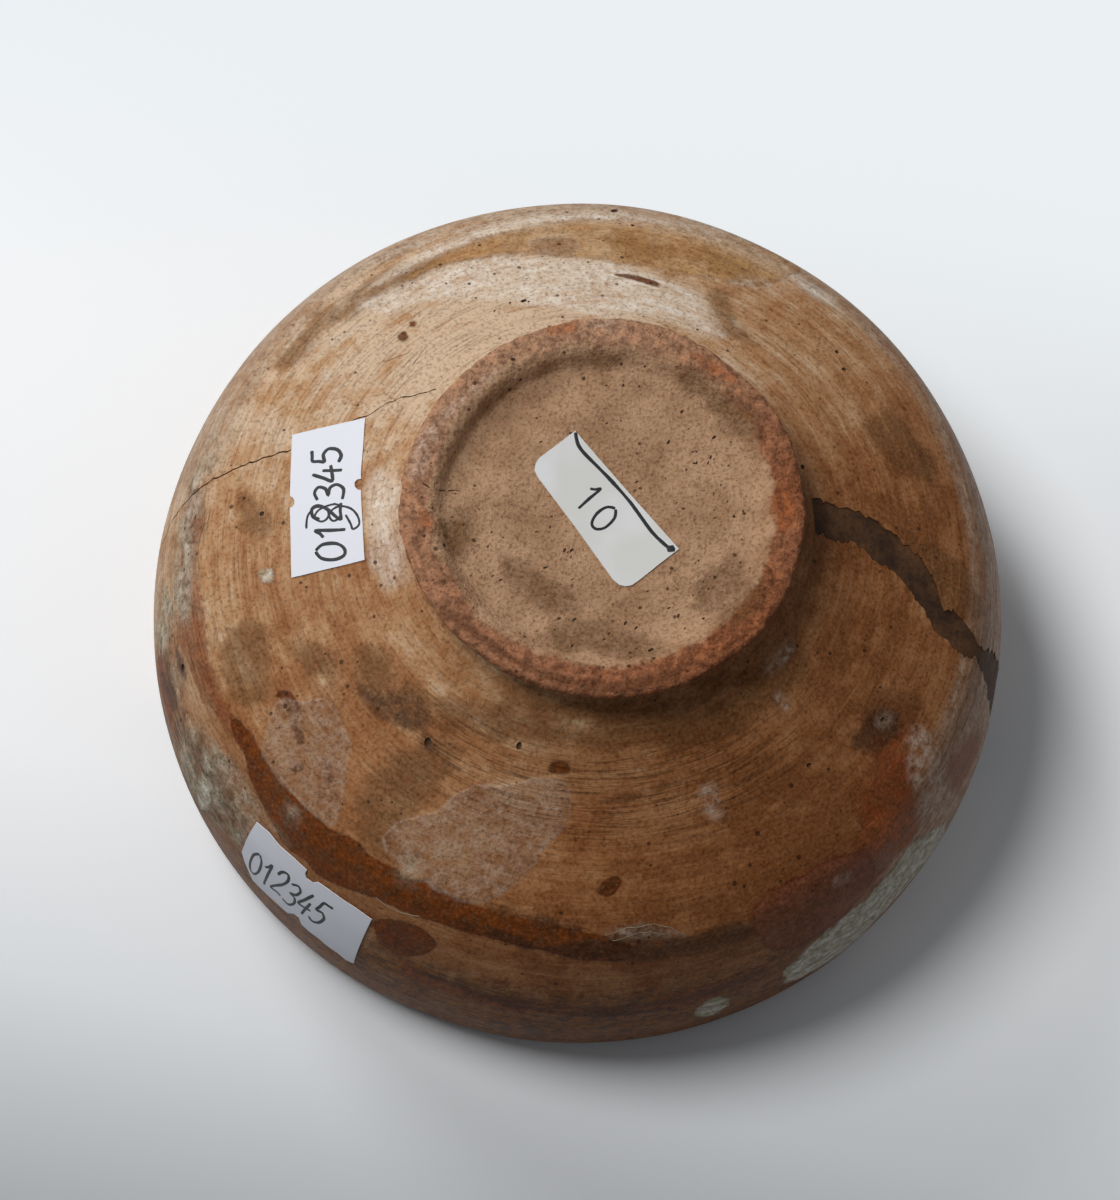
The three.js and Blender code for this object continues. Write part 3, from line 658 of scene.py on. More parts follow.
def block_between(name, first, second):
    """A tall block over the part of the plan between two break lines."""
    inner = np.linspace(second[0][1], first[0][1], 24)[1:-1]
    outer = np.linspace(first[-1][1], second[-1][1], 24)
    line = first + [[BEYOND_RIM, a] for a in outer] + second[::-1]
    line += [[FOOT_JOINT, a] for a in inner]
    return block(name, in_plan(line), -10, 100)


def cut(piece, operation, other):
    """Takes the other shape from a piece, or keeps only what lies in both."""
    finish_with(piece, "BOOLEAN", operation=operation, object=other, solver="MANIFOLD")


def joined(pieces):
    """Turns curves to meshes and joins the pieces into the first."""
    bpy.ops.object.select_all(action="DESELECT")
    for piece in pieces:
        piece.select_set(True)
    bpy.context.view_layer.objects.active = pieces[0]
    bpy.ops.object.convert(target="MESH")
    bpy.ops.object.join()
    piece = bpy.context.active_object
    bpy.ops.object.mode_set(mode="EDIT")
    bpy.ops.mesh.select_all(action="SELECT")
    bpy.ops.mesh.remove_doubles(threshold=0.000001)
    bpy.ops.mesh.normals_make_consistent(inside=False)
    bpy.ops.object.mode_set(mode="OBJECT")
    return piece


def thread(name, spots, width, sizes):
    """A round thread through spots in millimetres."""
    data = bpy.data.curves.new(name, "CURVE")
    data.dimensions = "3D"
    data.bevel_depth = width / 2 * MM
    data.bevel_resolution = 1
    data.use_fill_caps = True
    spline = data.splines.new("POLY")
    spline.points.add(len(spots) - 1)
    for point, spot, size in zip(spline.points, spots, sizes):
        point.co = (*(Vector(spot) * MM), 1)
        point.radius = size
    piece = bpy.data.objects.new(name, data)
    bpy.context.collection.objects.link(piece)
    return piece


def threads(name, lines):
    """Thin threads lying along lines on the outside, joined into one piece."""
    made = []
    for width, corners in lines:
        fine = [corners[0]]
        for (out, turn), (next_out, next_turn) in zip(corners, corners[1:]):
            steps = max(2, int(math.hypot(next_out - out, out * math.radians(next_turn - turn))))
            fine += [[out + (next_out - out) * i / steps, turn + (next_turn - turn) * i / steps]
                     for i in range(1, steps + 1)]
        shifts = [noise.noise_vector(Vector((o, t, width * 50))) * 0.25 for o, t in fine]
        spots = [spot_on(o + s.x, t + math.degrees(s.y / o)) for (o, t), s in zip(fine, shifts)]
        made.append(thread(name, spots, width, [0.75 + s.z * 2 for s in shifts]))
    return joined(made)


def pit_shapes():
    """Rounded lumps where the pits are, the small ones of the foot long and all one way."""
    made = []
    spots = [[*pit, PIT_LENGTH] for pit in PITS]
    for _ in range(SMALL_PITS):
        shift = noise.random_vector()
        out, turn = 4 + 22.5 * abs(shift.x) ** 0.6, math.degrees(math.atan2(shift.y, shift.z))
        if inside_by(np.array([in_plan([[out, turn]])[0]]), FOOT_LABEL)[0] > -1:
            continue
        spots.append([out, turn, 0.28 + 0.3 * abs(shift.y) ** 2, SMALL_PIT_LENGTH])
    for out, turn, width, length in spots:
        bpy.ops.object.select_all(action="DESELECT")
        bpy.ops.mesh.primitive_ico_sphere_add(subdivisions=2 if width > 0.6 else 1,
                                              radius=width / 2 * MM,
                                              location=spot_on(out, turn) * MM)
        piece = bpy.context.active_object
        shift = noise.noise_vector(Vector((out, turn, 3)))
        piece.scale = (length + shift.x * 0.4, 0.9 + shift.y * 0.4, 0.9)
        piece.rotation_euler = (0, 0, math.radians(SMALL_PIT_TURN) + shift.z)
        made.append(piece)
    for piece in made:
        piece.select_set(True)
    bpy.context.view_layer.objects.active = made[0]
    bpy.ops.object.transform_apply(location=True, rotation=True, scale=True)
    return joined(made)


# Pits and cracks are cut into the shell first, and their walls take the second material. Then
# the shell is parted along the breaks into body, sherd and fill.
noise.seed_set(7)
pits = pit_shapes()
crack_threads = threads("glaze cracks", CRACKS)
for cutter in (pits, crack_threads):
    cutter.data.materials.clear()
    for _ in range(2):
        cutter.data.materials.append(None)
    cutter.data.polygons.foreach_set("material_index", [1] * len(cutter.data.polygons))
bowl.data.materials.clear()
for _ in range(2):
    bowl.data.materials.append(None)
fill = copy_of(bowl, "toned_break_fill")
cut(bowl, "DIFFERENCE", pits)
cut(bowl, "DIFFERENCE", crack_threads)
sherd_block = block_between("sherd block", break_line(FILL_FAR, FILL_JAG, FILL_GAP),
                            break_line(HAIRLINE, HAIRLINE_JAG, -HAIRLINE_GAP))
fill_block = block_between("fill block", break_line(FILL_NEAR, FILL_JAG, FILL_GAP),
                           break_line(FILL_FAR, FILL_JAG, -FILL_GAP))
gap_block = block_between("gap block", break_line(FILL_NEAR, FILL_JAG, -FILL_GAP),
                          break_line(HAIRLINE, HAIRLINE_JAG, 0))
sherd = copy_of(bowl, "glazed_wall_sherd")
cut(sherd, "INTERSECT", sherd_block)
# The filler was levelled by hand and lies a little below the glaze.
points, facing = points_of(fill), normals_of(fill)
sink = 0.16 + 0.1 * rough(points, 3, 7) + 0.08 * rough(points, 1.2, 8)
put_points(fill, points - facing * sink[:, None])
cut(fill, "INTERSECT", fill_block)
body = bowl
body.name = "glazed_bowl_body"
cut(body, "DIFFERENCE", gap_block)
for cutter in (sherd_block, fill_block, gap_block, pits, crack_threads):
    bpy.data.objects.remove(cutter)
lime_lines = threads("lime_traces", LIME_LINES)

# What the materials need to know of each point, kept on the mesh: how many millimetres inside each
# outline it is, how dark the glaze is with the painted light and shade in it, and its place for
# the marks of the wheel.
DRUM = 60
for piece in (body, sherd, fill):
    points = points_of(piece)
    plan, out, turn, along = plan_of(points)
    outer = along < RIM_ALONG
    values = {kind: np.max([inside_by(plan, o) for o in outlines], axis=0)
              for kind, outlines in PATCHES.items()}
    across = np.degrees(turn) % 360
    # The bands along the rim carry painted light on the far and right sides and painted shade on
    # the near side.
    for kind, (start, middle, half, share) in RIM_LIGHT_SHADE_AND_WEAR.items():
        away = np.abs((across - middle + 180) % 360 - 180)
        values[kind] = np.minimum(out - start, (half - away) / share)
    values["foot"] = CLAY_ENDS - out
    values["lip"] = out - LIP_STARTS
    values["combed"] = (within(turn, -108, -50, 22) * smooth(38, 43, out) * smooth(58, 50, out)
                        + 0.12 * smooth(36, 40, out))
    for name, value in values.items():
        layer = piece.data.attributes.new(name, "FLOAT", "POINT")
        layer.data.foreach_set("value", np.where(outer, value, FAR_OUTSIDE).astype(np.float32))
    layer = piece.data.attributes.new("depth_and_shade", "FLOAT", "POINT")
    # Round the bowl it darkens away from the lamps, partly as deeper glaze and partly as painted
    # shade, and it lightens towards them with painted light. It darkens from the foot to the
    # shoulder and lightens again on the side.
    depth_and_shade = np.interp(across, np.arange(0, 361, 20), GLAZE_DEPTH_AND_SHADE)
    depth_and_shade += 0.004 * np.clip(out - 50, -14, 24) - 0.014 * np.clip(out - 74, 0, 12)
    layer.data.foreach_set("value", depth_and_shade.astype(np.float32))
    # The surface unrolled as if off one drum, so that marks stretched round the wheel keep level.
    wheel = np.c_[DRUM * np.cos(turn), DRUM * np.sin(turn), along] * MM
    layer = piece.data.attributes.new("wheel", "FLOAT_VECTOR", "POINT")
    layer.data.foreach_set("vector", wheel.astype(np.float32).ravel())


def laid(plan, height):
    """Points of a flat sheet in plan, laid on the outside this far above it."""
    out, turn = np.hypot(plan[:, 0], plan[:, 1]), np.arctan2(plan[:, 1], plan[:, 0])
    under = np.interp(out, SECTION[:LIP_INDEX, 0], SECTION_ALONG[:LIP_INDEX])
    along = np.where(out < LIP_OUT, under, JOINT_ALONG + out - FOOT_JOINT)
    radius, level = (np.interp(along, SECTION_ALONG, SECTION[:, i]) for i in (0, 1))
    steps = [[np.interp(along + s, SECTION_ALONG, SECTION[:, i]) for i in (0, 1)] for s in (-1, 1)]
    slope = np.array(steps[1]) - np.array(steps[0])
    slope /= np.linalg.norm(slope, axis=0)
    points = np.c_[radius * np.cos(turn), radius * np.sin(turn), level]
    facing = np.c_[-slope[1] * np.cos(turn), -slope[1] * np.sin(turn), slope[0]]
    height = height + hand_work(points, out, turn)
    return points + facing * height[:, None]


def paper_label(name, outline):
    """A sheet of paper cut to an outline in plan and laid on the bowl."""
    corners = np.array(in_plan(outline))
    middle, size = corners.mean(0), np.ptp(corners, axis=0).max() + 4
    bpy.ops.object.select_all(action="DESELECT")
    bpy.ops.mesh.primitive_grid_add(x_subdivisions=int(size * 1.5), y_subdivisions=int(size * 1.5),
                                    size=size * MM, location=(*(middle * MM), 0))
    sheet = bpy.context.active_object
    sheet.name = name
    bpy.ops.object.transform_apply(location=True)
    finish_with(sheet, "SOLIDIFY", thickness=PAPER * MM, offset=1)
    outline_block = block("label cut", corners.tolist(), -1, 2)
    cut(sheet, "INTERSECT", outline_block)
    bpy.data.objects.remove(outline_block)
    points = points_of(sheet)
    put_points(sheet, laid(points[:, :2], points[:, 2] + PAPER_GAP))
    return sheet


def ink(name, strokes, width, corner, across, down):
    """Pen strokes in units of the digits' height, on a label's plan from its corner on."""
    made = []
    for stroke in strokes:
        line = stroke
        for _ in range(2):
            line = finer(line, 0.0)
        spots = [corner + np.array(across) * x + np.array(down) * y for x, y in line]
        ends = [0.75] + [1 + 0.25 * noise.noise(Vector((x * 3, y * 3, 1)))
                         for x, y in line[1:-1]] + [0.8]
        made.append(thread(name, [[*s, 0] for s in spots], width, ends))
    piece = joined(made)
    points = points_of(piece)
    rise = PAPER_GAP + PAPER + INK_RISE + points[:, 2] * INK_FLATNESS
    put_points(piece, laid(points[:, :2], rise))
    return piece


# Plain figures in pen strokes, on a box 0.6 wide and 1 high with the top at 0.
FIGURES = {
    "0": [[[0.3, 0.02], [0.08, 0.2], [0.02, 0.6], [0.15, 0.95], [0.38, 0.97], [0.55, 0.7],
           [0.52, 0.25], [0.33, 0.03]]],
    "1": [[[0.1, 0.26], [0.24, 0.14], [0.34, 0.0], [0.33, 0.5], [0.34, 1.0]]],
    "2": [[[0.05, 0.25], [0.15, 0.04], [0.4, 0.0], [0.52, 0.2], [0.4, 0.5], [0.12, 0.8],
           [0.03, 0.97], [0.3, 0.95], [0.58, 0.98]]],
    "3": [[[0.06, 0.1], [0.3, 0.0], [0.5, 0.14], [0.42, 0.38], [0.2, 0.46], [0.45, 0.52],
           [0.56, 0.76], [0.38, 0.98], [0.04, 0.92]]],
    "4": [[[0.3, 0.0], [0.14, 0.4], [0.03, 0.66], [0.3, 0.66], [0.6, 0.62]],
          [[0.42, 0.34], [0.4, 0.7], [0.4, 1.0]]],
    "5": [[[0.5, 0.02], [0.3, 0.03], [0.12, 0.04], [0.1, 0.26], [0.08, 0.44], [0.32, 0.4],
           [0.53, 0.58], [0.48, 0.88], [0.25, 1.0], [0.03, 0.9]]],
}


def figures(digits, advance):
    """The strokes of a row of digits, each shifted along from the one before."""
    strokes = []
    for i, digit in enumerate(digits):
        sway = 0.06 * math.sin(i * 2.4)
        strokes += [[[x + i * advance, y + sway] for x, y in s] for s in FIGURES[digit]]
    return strokes


wall_label = paper_label("paper_wall_label", WALL_LABEL)
rim_label = paper_label("paper_rim_label", RIM_LABEL)
foot_label = paper_label("coated_foot_label", FOOT_LABEL)
# Each name, its strokes, the pen's width, where the first figure's top left corner is on the
# plan, and the steps along the row and down a figure. Drawn lines are on the plan already.
AS_DRAWN = [(0, 0), (1, 0), (0, 1)]
inks = [
    ink("wall_label_pen_figures", figures("012345", 0.66), 0.62,
        (-45.34, -15.44), (-1.43, 5.26), (5.41, 0.59)),
    ink("wall_label_pen_scribble", [in_plan(SCRIBBLE)], 0.4, *AS_DRAWN),
    ink("rim_label_pen_figures", figures("012345", 0.655), 0.66,
        (-52.54, -68.72), (5.04, -1.92), (-5.72, -7.2)),
    ink("foot_label_pen_figures", figures("10", 0.85), 0.5,
        (-2.27, 4.57), (3.94, -3.16), (-2.82, -4.19)),
    ink("foot_label_pen_line", [in_plan(PEN_LINE)], 0.62, *AS_DRAWN),
    ink("foot_label_pen_blot", [in_plan(PEN_BLOT)], 1.3, *AS_DRAWN),
]

for piece in (body, sherd, fill, lime_lines, wall_label, rim_label, foot_label, *inks):
    only(piece)
    bpy.ops.object.shade_smooth_by_angle(angle=math.radians(40))
    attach(piece, "root")
for piece, node in ((body, "bowl_body"), (sherd, "wall_sherd"), (fill, "break_fill"),
                    (wall_label, "wall_label"), (rim_label, "rim_label"),
                    (foot_label, "foot_label")):
    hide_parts(node)


def colour(code):
    """An sRGB hex colour as Blender's linear one."""
    parts = [int(code[i:i + 2], 16) / 255 for i in (1, 3, 5)]
    return [c / 12.92 if c <= 0.04045 else ((c + 0.055) / 1.055) ** 2.4 for c in parts] + [1]


def add(tree, kind, inputs=None, output=0, **settings):
    """Adds a node with its settings, values and links, and returns one of its outputs."""
    node = tree.nodes.new("ShaderNode" + kind)
    for key, value in settings.items():
        setattr(node, key, value)
    for key, value in (inputs or {}).items():
        if isinstance(value, bpy.types.NodeSocket):
            tree.links.new(value, node.inputs[key])
        else:
            node.inputs[key].default_value = colour(value) if isinstance(value, str) else value
    return node.outputs[output]


def new_material(name):
    """A new material, its node tree and its main shader."""
    material = bpy.data.materials.new(name)
    material.use_nodes = True
    tree = material.node_tree
    return material, tree, tree.nodes["Principled BSDF"]


# Lead-glazed earthenware: a thin honey glaze, worn, stained and limed, over pinkish buff clay.
# It gives a soft satin gloss, fine lines from turning, and bare dull clay on the foot. The glaze
# has weathered, so it reflects far less than fresh glass does.
glazed, tree, shader = new_material("lead_glazed_earthenware")
shader.inputs["Specular IOR Level"].default_value = 0.1
place = add(tree, "TexCoord", output="Object")
wheel = add(tree, "Attribute", output="Vector", attribute_name="wheel")

# [width of the marks in mm, how many times longer they are round the wheel, detail, roughness]
# Real grit is about 0.2 mm and a turning scratch 0.15 mm wide. Both are drawn three times as
# coarse, or they would not show.
MARKS = {"clouds": [24, 1, 3, 0.5], "blotches": [6, 1, 5, 0.6], "mottle": [1.8, 1, 5, 0.65],
         "grit": [0.6, 1, 3, 0.6], "strokes": [1.0, 9, 5, 0.6], "scratches": [0.45, 26, 3, 0.6],
         "bands": [3.4, 14, 4, 0.6]}
marks = {}
for kind, (width, stretch, detail, roughness) in MARKS.items():
    where = place
    if stretch > 1:
        where = add(tree, "Mapping", {"Vector": wheel, "Scale": (1, 1, stretch)})
    marks[kind] = add(tree, "TexNoise", {"Vector": where, "Scale": 1000 / width / stretch,
                                         "Detail": detail, "Roughness": roughness})

# The glaze: honey over buff, deeper where it lay thicker, drawn out in fine lines, with painted
# shade on the near side and painted light on the far side in its tone.
depth_and_shade = add(tree, "Attribute", output="Fac", attribute_name="depth_and_shade")
tone = depth_and_shade
for kind, share in (("clouds", 1.0), ("blotches", 0.9), ("strokes", 0.7), ("bands", 0.8),
                    ("mottle", 0.5)):
    part = add(tree, "Math", {0: marks[kind], 1: share, 2: -share / 2}, operation="MULTIPLY_ADD")
    tone = add(tree, "Math", {0: tone, 1: part}, operation="ADD")
skin = add(tree, "ValToRGB", {0: tone})
ramp = skin.node.color_ramp
ramp.elements[0].color = colour("#e0c2a2")
ramp.elements[1].color = colour("#8b552e")
ramp.elements.new(0.28).color = colour("#c99c72")
ramp.elements.new(0.55).color = colour("#b17c51")
ramp.elements.new(0.82).color = colour("#a0683e")
faint = add(tree, "MapRange", {"Value": marks["scratches"], "From Min": 0.5, "From Max": 0.7,
                               "To Max": 0.4})
base = add(tree, "Mix", {0: faint, 6: skin, 7: "#74492a"}, 2, data_type="RGBA")

# Where the tool chattered the lines are deep and dark.
combed = add(tree, "Attribute", output="Fac", attribute_name="combed")
part = add(tree, "MapRange", {"Value": marks["scratches"], "From Min": 0.5, "From Max": 0.62,
                              "To Max": 0.4})
part = add(tree, "Math", {0: part, 1: combed}, operation="MULTIPLY")
base = add(tree, "Mix", {0: part, 6: base, 7: "#4d2f19"}, 2, data_type="RGBA")

# The foot: buff clay underneath, and a grainy red lip, darker towards the near side with painted
# shade.
worn = add(tree, "MapRange", {"Value": marks["blotches"], "From Min": 0.36, "From Max": 0.66,
                              "To Max": 0.7})
clay = add(tree, "Mix", {0: worn, 6: "#c9a07d", 7: "#9b7352"}, 2, data_type="RGBA")
lip = add(tree, "Attribute", output="Fac", attribute_name="lip")
lip = add(tree, "Math", {0: marks["blotches"], 1: 5.0, 2: lip}, operation="MULTIPLY_ADD")
lip = add(tree, "Math", {0: marks["mottle"], 1: 2.4, 2: lip}, operation="MULTIPLY_ADD")
lip = add(tree, "MapRange", {"Value": lip, "From Min": 3.2, "From Max": 4.6},
          interpolation_type="SMOOTHSTEP")
# Painted shade: the red of the lip darkens on the side turned away from the lamps.
red = add(tree, "Mix", {0: depth_and_shade, 6: "#d0a07e", 7: "#9c552e"}, 2, data_type="RGBA")
grains = add(tree, "MapRange", {"Value": marks["mottle"], "From Min": 0.4, "From Max": 0.64,
                                "To Max": 0.66})
red = add(tree, "Mix", {0: grains, 6: red, 7: "#5b3520"}, 2, data_type="RGBA")
grains = add(tree, "MapRange", {"Value": marks["mottle"], "From Min": 0.46, "From Max": 0.3,
                                "To Max": 0.4})
red = add(tree, "Mix", {0: grains, 6: red, 7: "#cf8450"}, 2, data_type="RGBA")
clay = add(tree, "Mix", {0: lip, 6: clay, 7: red}, 2, data_type="RGBA")
foot = add(tree, "Attribute", output="Fac", attribute_name="foot")
foot = add(tree, "Math", {0: marks["mottle"], 1: 1.6, 2: foot}, operation="MULTIPLY_ADD")
foot = add(tree, "MapRange", {"Value": foot, "From Min": 0.5, "From Max": 1.1},
           interpolation_type="SMOOTHSTEP")
base = add(tree, "Mix", {0: foot, 6: base, 7: clay}, 2, data_type="RGBA")

# What lies in or on the glaze, and the light and shade painted on it, from the lowest up: its
# light and dark colour, (half the width of its edge, how far the edge wanders), strength, (the
# mark that breaks it up, from, to, least share left there), (colour and strength of the line round
# it) if it has one, how dull it is, its rise.
LAYERS = [
    # Painted light on the far edge, over its pale wear.
    ["far_edge", "#c3aa94", "#93745c", (0.8, 2.4), 0.75,
     ("strokes", 0.4, 0.62, 0.2), None, 0.2, 0],
    # Painted shade on the near rim, away from the lamps, over its darker glaze.
    ["near_rim", "#8e530d", "#341803", (2.6, 9), 0.95,
     ("strokes", 0.42, 0.66, 0.5), None, 0, 0],
    # Painted light on the right edge, where the white surroundings light the steep wall.
    ["side_edge", "#e2c7b1", "#b28c70", (3.4, 10), 0.66,
     ("strokes", 0.42, 0.62, 0.2), None, 0.2, 0],
    ["blush", "#984a24", "#6b3218", (2.4, 7), 0.86,
     ("mottle", 0.36, 0.62, 0.5), None, 0, 0],
    # Dark stains, and a painted shadow of the foot on the near wall below it.
    ["umber", "#76522f", "#452f1a", (1.6, 7), 0.74,
     ("mottle", 0.38, 0.64, 0.3), ("#553a20", 0.2), 0.3, 0],
    # Thin glaze, and painted highlight on the far shoulder and at the left of the foot.
    ["pale", "#fbeede", "#dcc3aa", (1.3, 4), 0.9,
     ("strokes", 0.38, 0.64, 0.4), None, 0.3, 0],
    ["honey", "#c89558", "#9c6a36", (0.6, 3.4), 0.75,
     ("strokes", 0.36, 0.62, 0.5), ("#7c5430", 0.45), 0, 0.02],
    ["pool", "#9c5d44", "#733a28", (0.5, 2.4), 0.85,
     ("mottle", 0.4, 0.64, 0.35), ("#6b2c15", 0.75), 0, 0.02],
    ["rust", "#98532e", "#66321b", (0.5, 2), 0.88,
     ("scratches", 0.36, 0.6, 0.55), None, 0.2, 0.02],
    ["amber", "#82400f", "#48220a", (0.2, 1.2), 0.95,
     ("mottle", 0.46, 0.68, 0.8), ("#381b09", 0.35), 0, 0.05],
    ["smudge", "#5e3f2b", "#28180f", (0.9, 4.5), 0.9,
     ("mottle", 0.4, 0.64, 0.4), None, 0.2, 0],
    ["bare", "#b3947d", "#7f5e45", (0.3, 2.2), 0.74,
     ("mottle", 0.38, 0.62, 0.45), ("#dccab8", 0.22), 0.8, -0.05],
    ["smear", "#e2d3c2", "#b89d87", (1.2, 4), 0.5,
     ("mottle", 0.4, 0.6, 0.15), None, 0.6, 0.01],
    ["bloom", "#e2d8c4", "#8c7f66", (1.6, 7), 0.8,
     ("blotches", 0.4, 0.62, 0.15), None, 0.9, 0.03],
    ["lime", "#fffaec", "#b8ab8c", (0.8, 8), 0.95,
     ("bands", 0.5, 0.7, 0.45), None, 1, 0.1],
    ["orange", "#c06c3b", "#8f4c28", (0.8, 3), 0.7,
     ("mottle", 0.4, 0.62, 0.3), None, 0, 0],
    # Dark stains, and painted shade on the near outer edge of the foot's lip.
    ["soot_and_shade", "#5e381f", "#371f0f", (0.5, 2), 0.75,
     ("mottle", 0.38, 0.62, 0.3), None, 0, 0],
]
# The wandering comes from two noises around a half, whose middle is taken off again.
MOTTLE_SHARE = 0.6
NOISE_MIDDLE = 0.8
RING_SOFTNESS = 0.15
dull, height = foot, 0.0
for (kind, light, dark, (edge, wander), strength, (mark, low, high, least), ring,
     dullness, rise) in LAYERS:
    value = add(tree, "Attribute", output="Fac", attribute_name=kind)
    value = add(tree, "Math", {0: marks["blotches"], 1: wander, 2: value},
                operation="MULTIPLY_ADD")
    value = add(tree, "Math", {0: marks["mottle"], 1: wander * MOTTLE_SHARE, 2: value},
                operation="MULTIPLY_ADD")
    value = add(tree, "Math", {0: value, 1: wander * NOISE_MIDDLE}, operation="SUBTRACT")
    amount = add(tree, "MapRange", {"Value": value, "From Min": -edge, "From Max": edge,
                                    "To Max": strength}, interpolation_type="SMOOTHSTEP")
    broken = add(tree, "MapRange", {"Value": marks[mark], "From Min": low, "From Max": high,
                                    "To Min": 1, "To Max": least})
    amount = add(tree, "Math", {0: amount, 1: broken}, operation="MULTIPLY")
    hue = add(tree, "MapRange", {"Value": marks["mottle"], "From Min": 0.38, "From Max": 0.64})
    hue = add(tree, "Mix", {0: hue, 6: light, 7: dark}, 2, data_type="RGBA")
    base = add(tree, "Mix", {0: amount, 6: base, 7: hue}, 2, data_type="RGBA")
    if ring:
        outline, line = ring
        away = add(tree, "Math", {0: value}, operation="ABSOLUTE")
        part = add(tree, "MapRange", {"Value": away, "From Max": edge + RING_SOFTNESS,
                                      "To Min": line, "To Max": 0})
        part = add(tree, "Math", {0: part, 1: broken}, operation="MULTIPLY")
        base = add(tree, "Mix", {0: part, 6: base, 7: outline}, 2, data_type="RGBA")
    if dullness:
        part = add(tree, "Math", {0: amount, 1: dullness}, operation="MULTIPLY")
        dull = add(tree, "Math", {0: dull, 1: part}, operation="MAXIMUM")
    if rise:
        height = add(tree, "Math", {0: amount, 1: rise * MM, 2: height}, operation="MULTIPLY_ADD")

# The grain of the clay through all of it, dark in the pores and light on the grains.
pores = add(tree, "MapRange", {"Value": marks["grit"], "From Min": 0.5, "From Max": 0.68,
                               "To Max": 0.5})
base = add(tree, "Mix", {0: pores, 6: base, 7: "#7d6450"}, 2, data_type="RGBA",
           blend_type="MULTIPLY")
tips = add(tree, "MapRange", {"Value": marks["grit"], "From Min": 0.46, "From Max": 0.3,
                              "To Max": 0.08})
base = add(tree, "Mix", {0: tips, 6: base, 7: "#e6cdac"}, 2, data_type="RGBA")
# Fine pepper of iron and dirt: some of the cells hold a speck up to 0.4 mm wide.
PEPPER_SPAN = 1.9
cells = add(tree, "TexVoronoi", {"Vector": place, "Scale": 1000 / PEPPER_SPAN},
            output="Distance")
chance = add(tree, "SeparateColor", {0: cells.node.outputs["Color"]}, "Red")
drifts = add(tree, "MapRange", {"Value": marks["clouds"], "From Min": 0.4, "From Max": 0.62,
                                "To Min": -0.12, "To Max": 0.1})
chance = add(tree, "Math", {0: chance, 1: drifts}, operation="ADD")
size = add(tree, "MapRange", {"Value": chance, "From Min": 0.58, "From Max": 1.1,
                              "To Max": 0.24})
grain = add(tree, "Math", {0: marks["grit"], 1: 0.35, 2: -0.175}, operation="MULTIPLY_ADD")
grain = add(tree, "Math", {0: cells, 1: grain}, operation="ADD")
grain = add(tree, "Math", {0: grain, 1: size}, operation="SUBTRACT")
grain = add(tree, "MapRange", {"Value": grain, "From Min": -0.03, "From Max": 0.02,
                               "To Min": 0.8, "To Max": 0})
base = add(tree, "Mix", {0: grain, 6: base, 7: "#3a2315"}, 2, data_type="RGBA")
tree.links.new(base, shader.inputs["Base Color"])
gloss = add(tree, "Math", {0: marks["blotches"], 1: 0.2, 2: 0.4}, operation="MULTIPLY_ADD")
gloss = add(tree, "Math", {0: dull, 1: 0.35, 2: gloss}, operation="MULTIPLY_ADD")
tree.links.new(gloss, shader.inputs["Roughness"])

# Relief in metres: fine turning lines, the grain of the clay, and grains standing out.
for mark, rise in (("scratches", 0.1), ("strokes", 0.1), ("grit", 0.07), ("mottle", 0.1)):
    height = add(tree, "Math", {0: marks[mark], 1: rise * MM, 2: height},
                 operation="MULTIPLY_ADD")
part = add(tree, "Math", {0: marks["scratches"], 1: combed}, operation="MULTIPLY")
height = add(tree, "Math", {0: part, 1: -0.35 * MM, 2: height}, operation="MULTIPLY_ADD")
coarse = add(tree, "Math", {0: marks["grit"], 1: marks["mottle"]}, operation="ADD")
coarse = add(tree, "Math", {0: coarse, 1: dull}, operation="MULTIPLY")
height = add(tree, "Math", {0: coarse, 1: 0.25 * MM, 2: height}, operation="MULTIPLY_ADD")
bump = add(tree, "Bump", {"Height": height, "Strength": 1.0, "Distance": 1.0})
tree.links.new(bump, shader.inputs["Normal"])

# Dirt held in cracks and pits, almost black and without any gloss. Its specks are drawn coarse.
grime, tree, shader = new_material("dirt_in_cracks")
shader.inputs["Roughness"].default_value = 0.95
place = add(tree, "TexCoord", output="Object")
spots = add(tree, "TexNoise", {"Vector": place, "Scale": 1000 / 0.8})
shade = add(tree, "Mix", {0: spots, 6: "#2a1a10", 7: "#6e5038"}, 2, data_type="RGBA")
tree.links.new(shade, shader.inputs["Base Color"])

# The repair: plaster filler toned dark brown with brush and pigment, matte and lumpy. Its grit is
# drawn at 0.8 mm, about twice the real size, so that it shows.
toned, tree, shader = new_material("toned_filler")
shader.inputs["Roughness"].default_value = 0.78
shader.inputs["Specular IOR Level"].default_value = 0.3
place = add(tree, "TexCoord", output="Object")
patches = add(tree, "TexNoise", {"Vector": place, "Scale": 1000 / 5, "Detail": 4,
                                 "Roughness": 0.65})
specks = add(tree, "TexNoise", {"Vector": place, "Scale": 1000 / 0.8, "Detail": 3})
patches = add(tree, "MapRange", {"Value": patches, "From Min": 0.35, "From Max": 0.65})
shade = add(tree, "Mix", {0: patches, 6: "#3a2413", 7: "#67452b"}, 2, data_type="RGBA")
dark = add(tree, "MapRange", {"Value": specks, "From Min": 0.55, "From Max": 0.75, "To Max": 0.6})
shade = add(tree, "Mix", {0: dark, 6: shade, 7: "#1f140a"}, 2, data_type="RGBA")
tree.links.new(shade, shader.inputs["Base Color"])
bump = add(tree, "Bump", {"Height": specks, "Distance": 0.2 * MM})
tree.links.new(bump, shader.inputs["Normal"])

# Lime left by hard water and plaster: chalk, matte and greyish white.
lime, tree, shader = new_material("lime_deposit")
shader.inputs["Roughness"].default_value = 0.9
shader.inputs["Base Color"].default_value = colour("#a3957c")

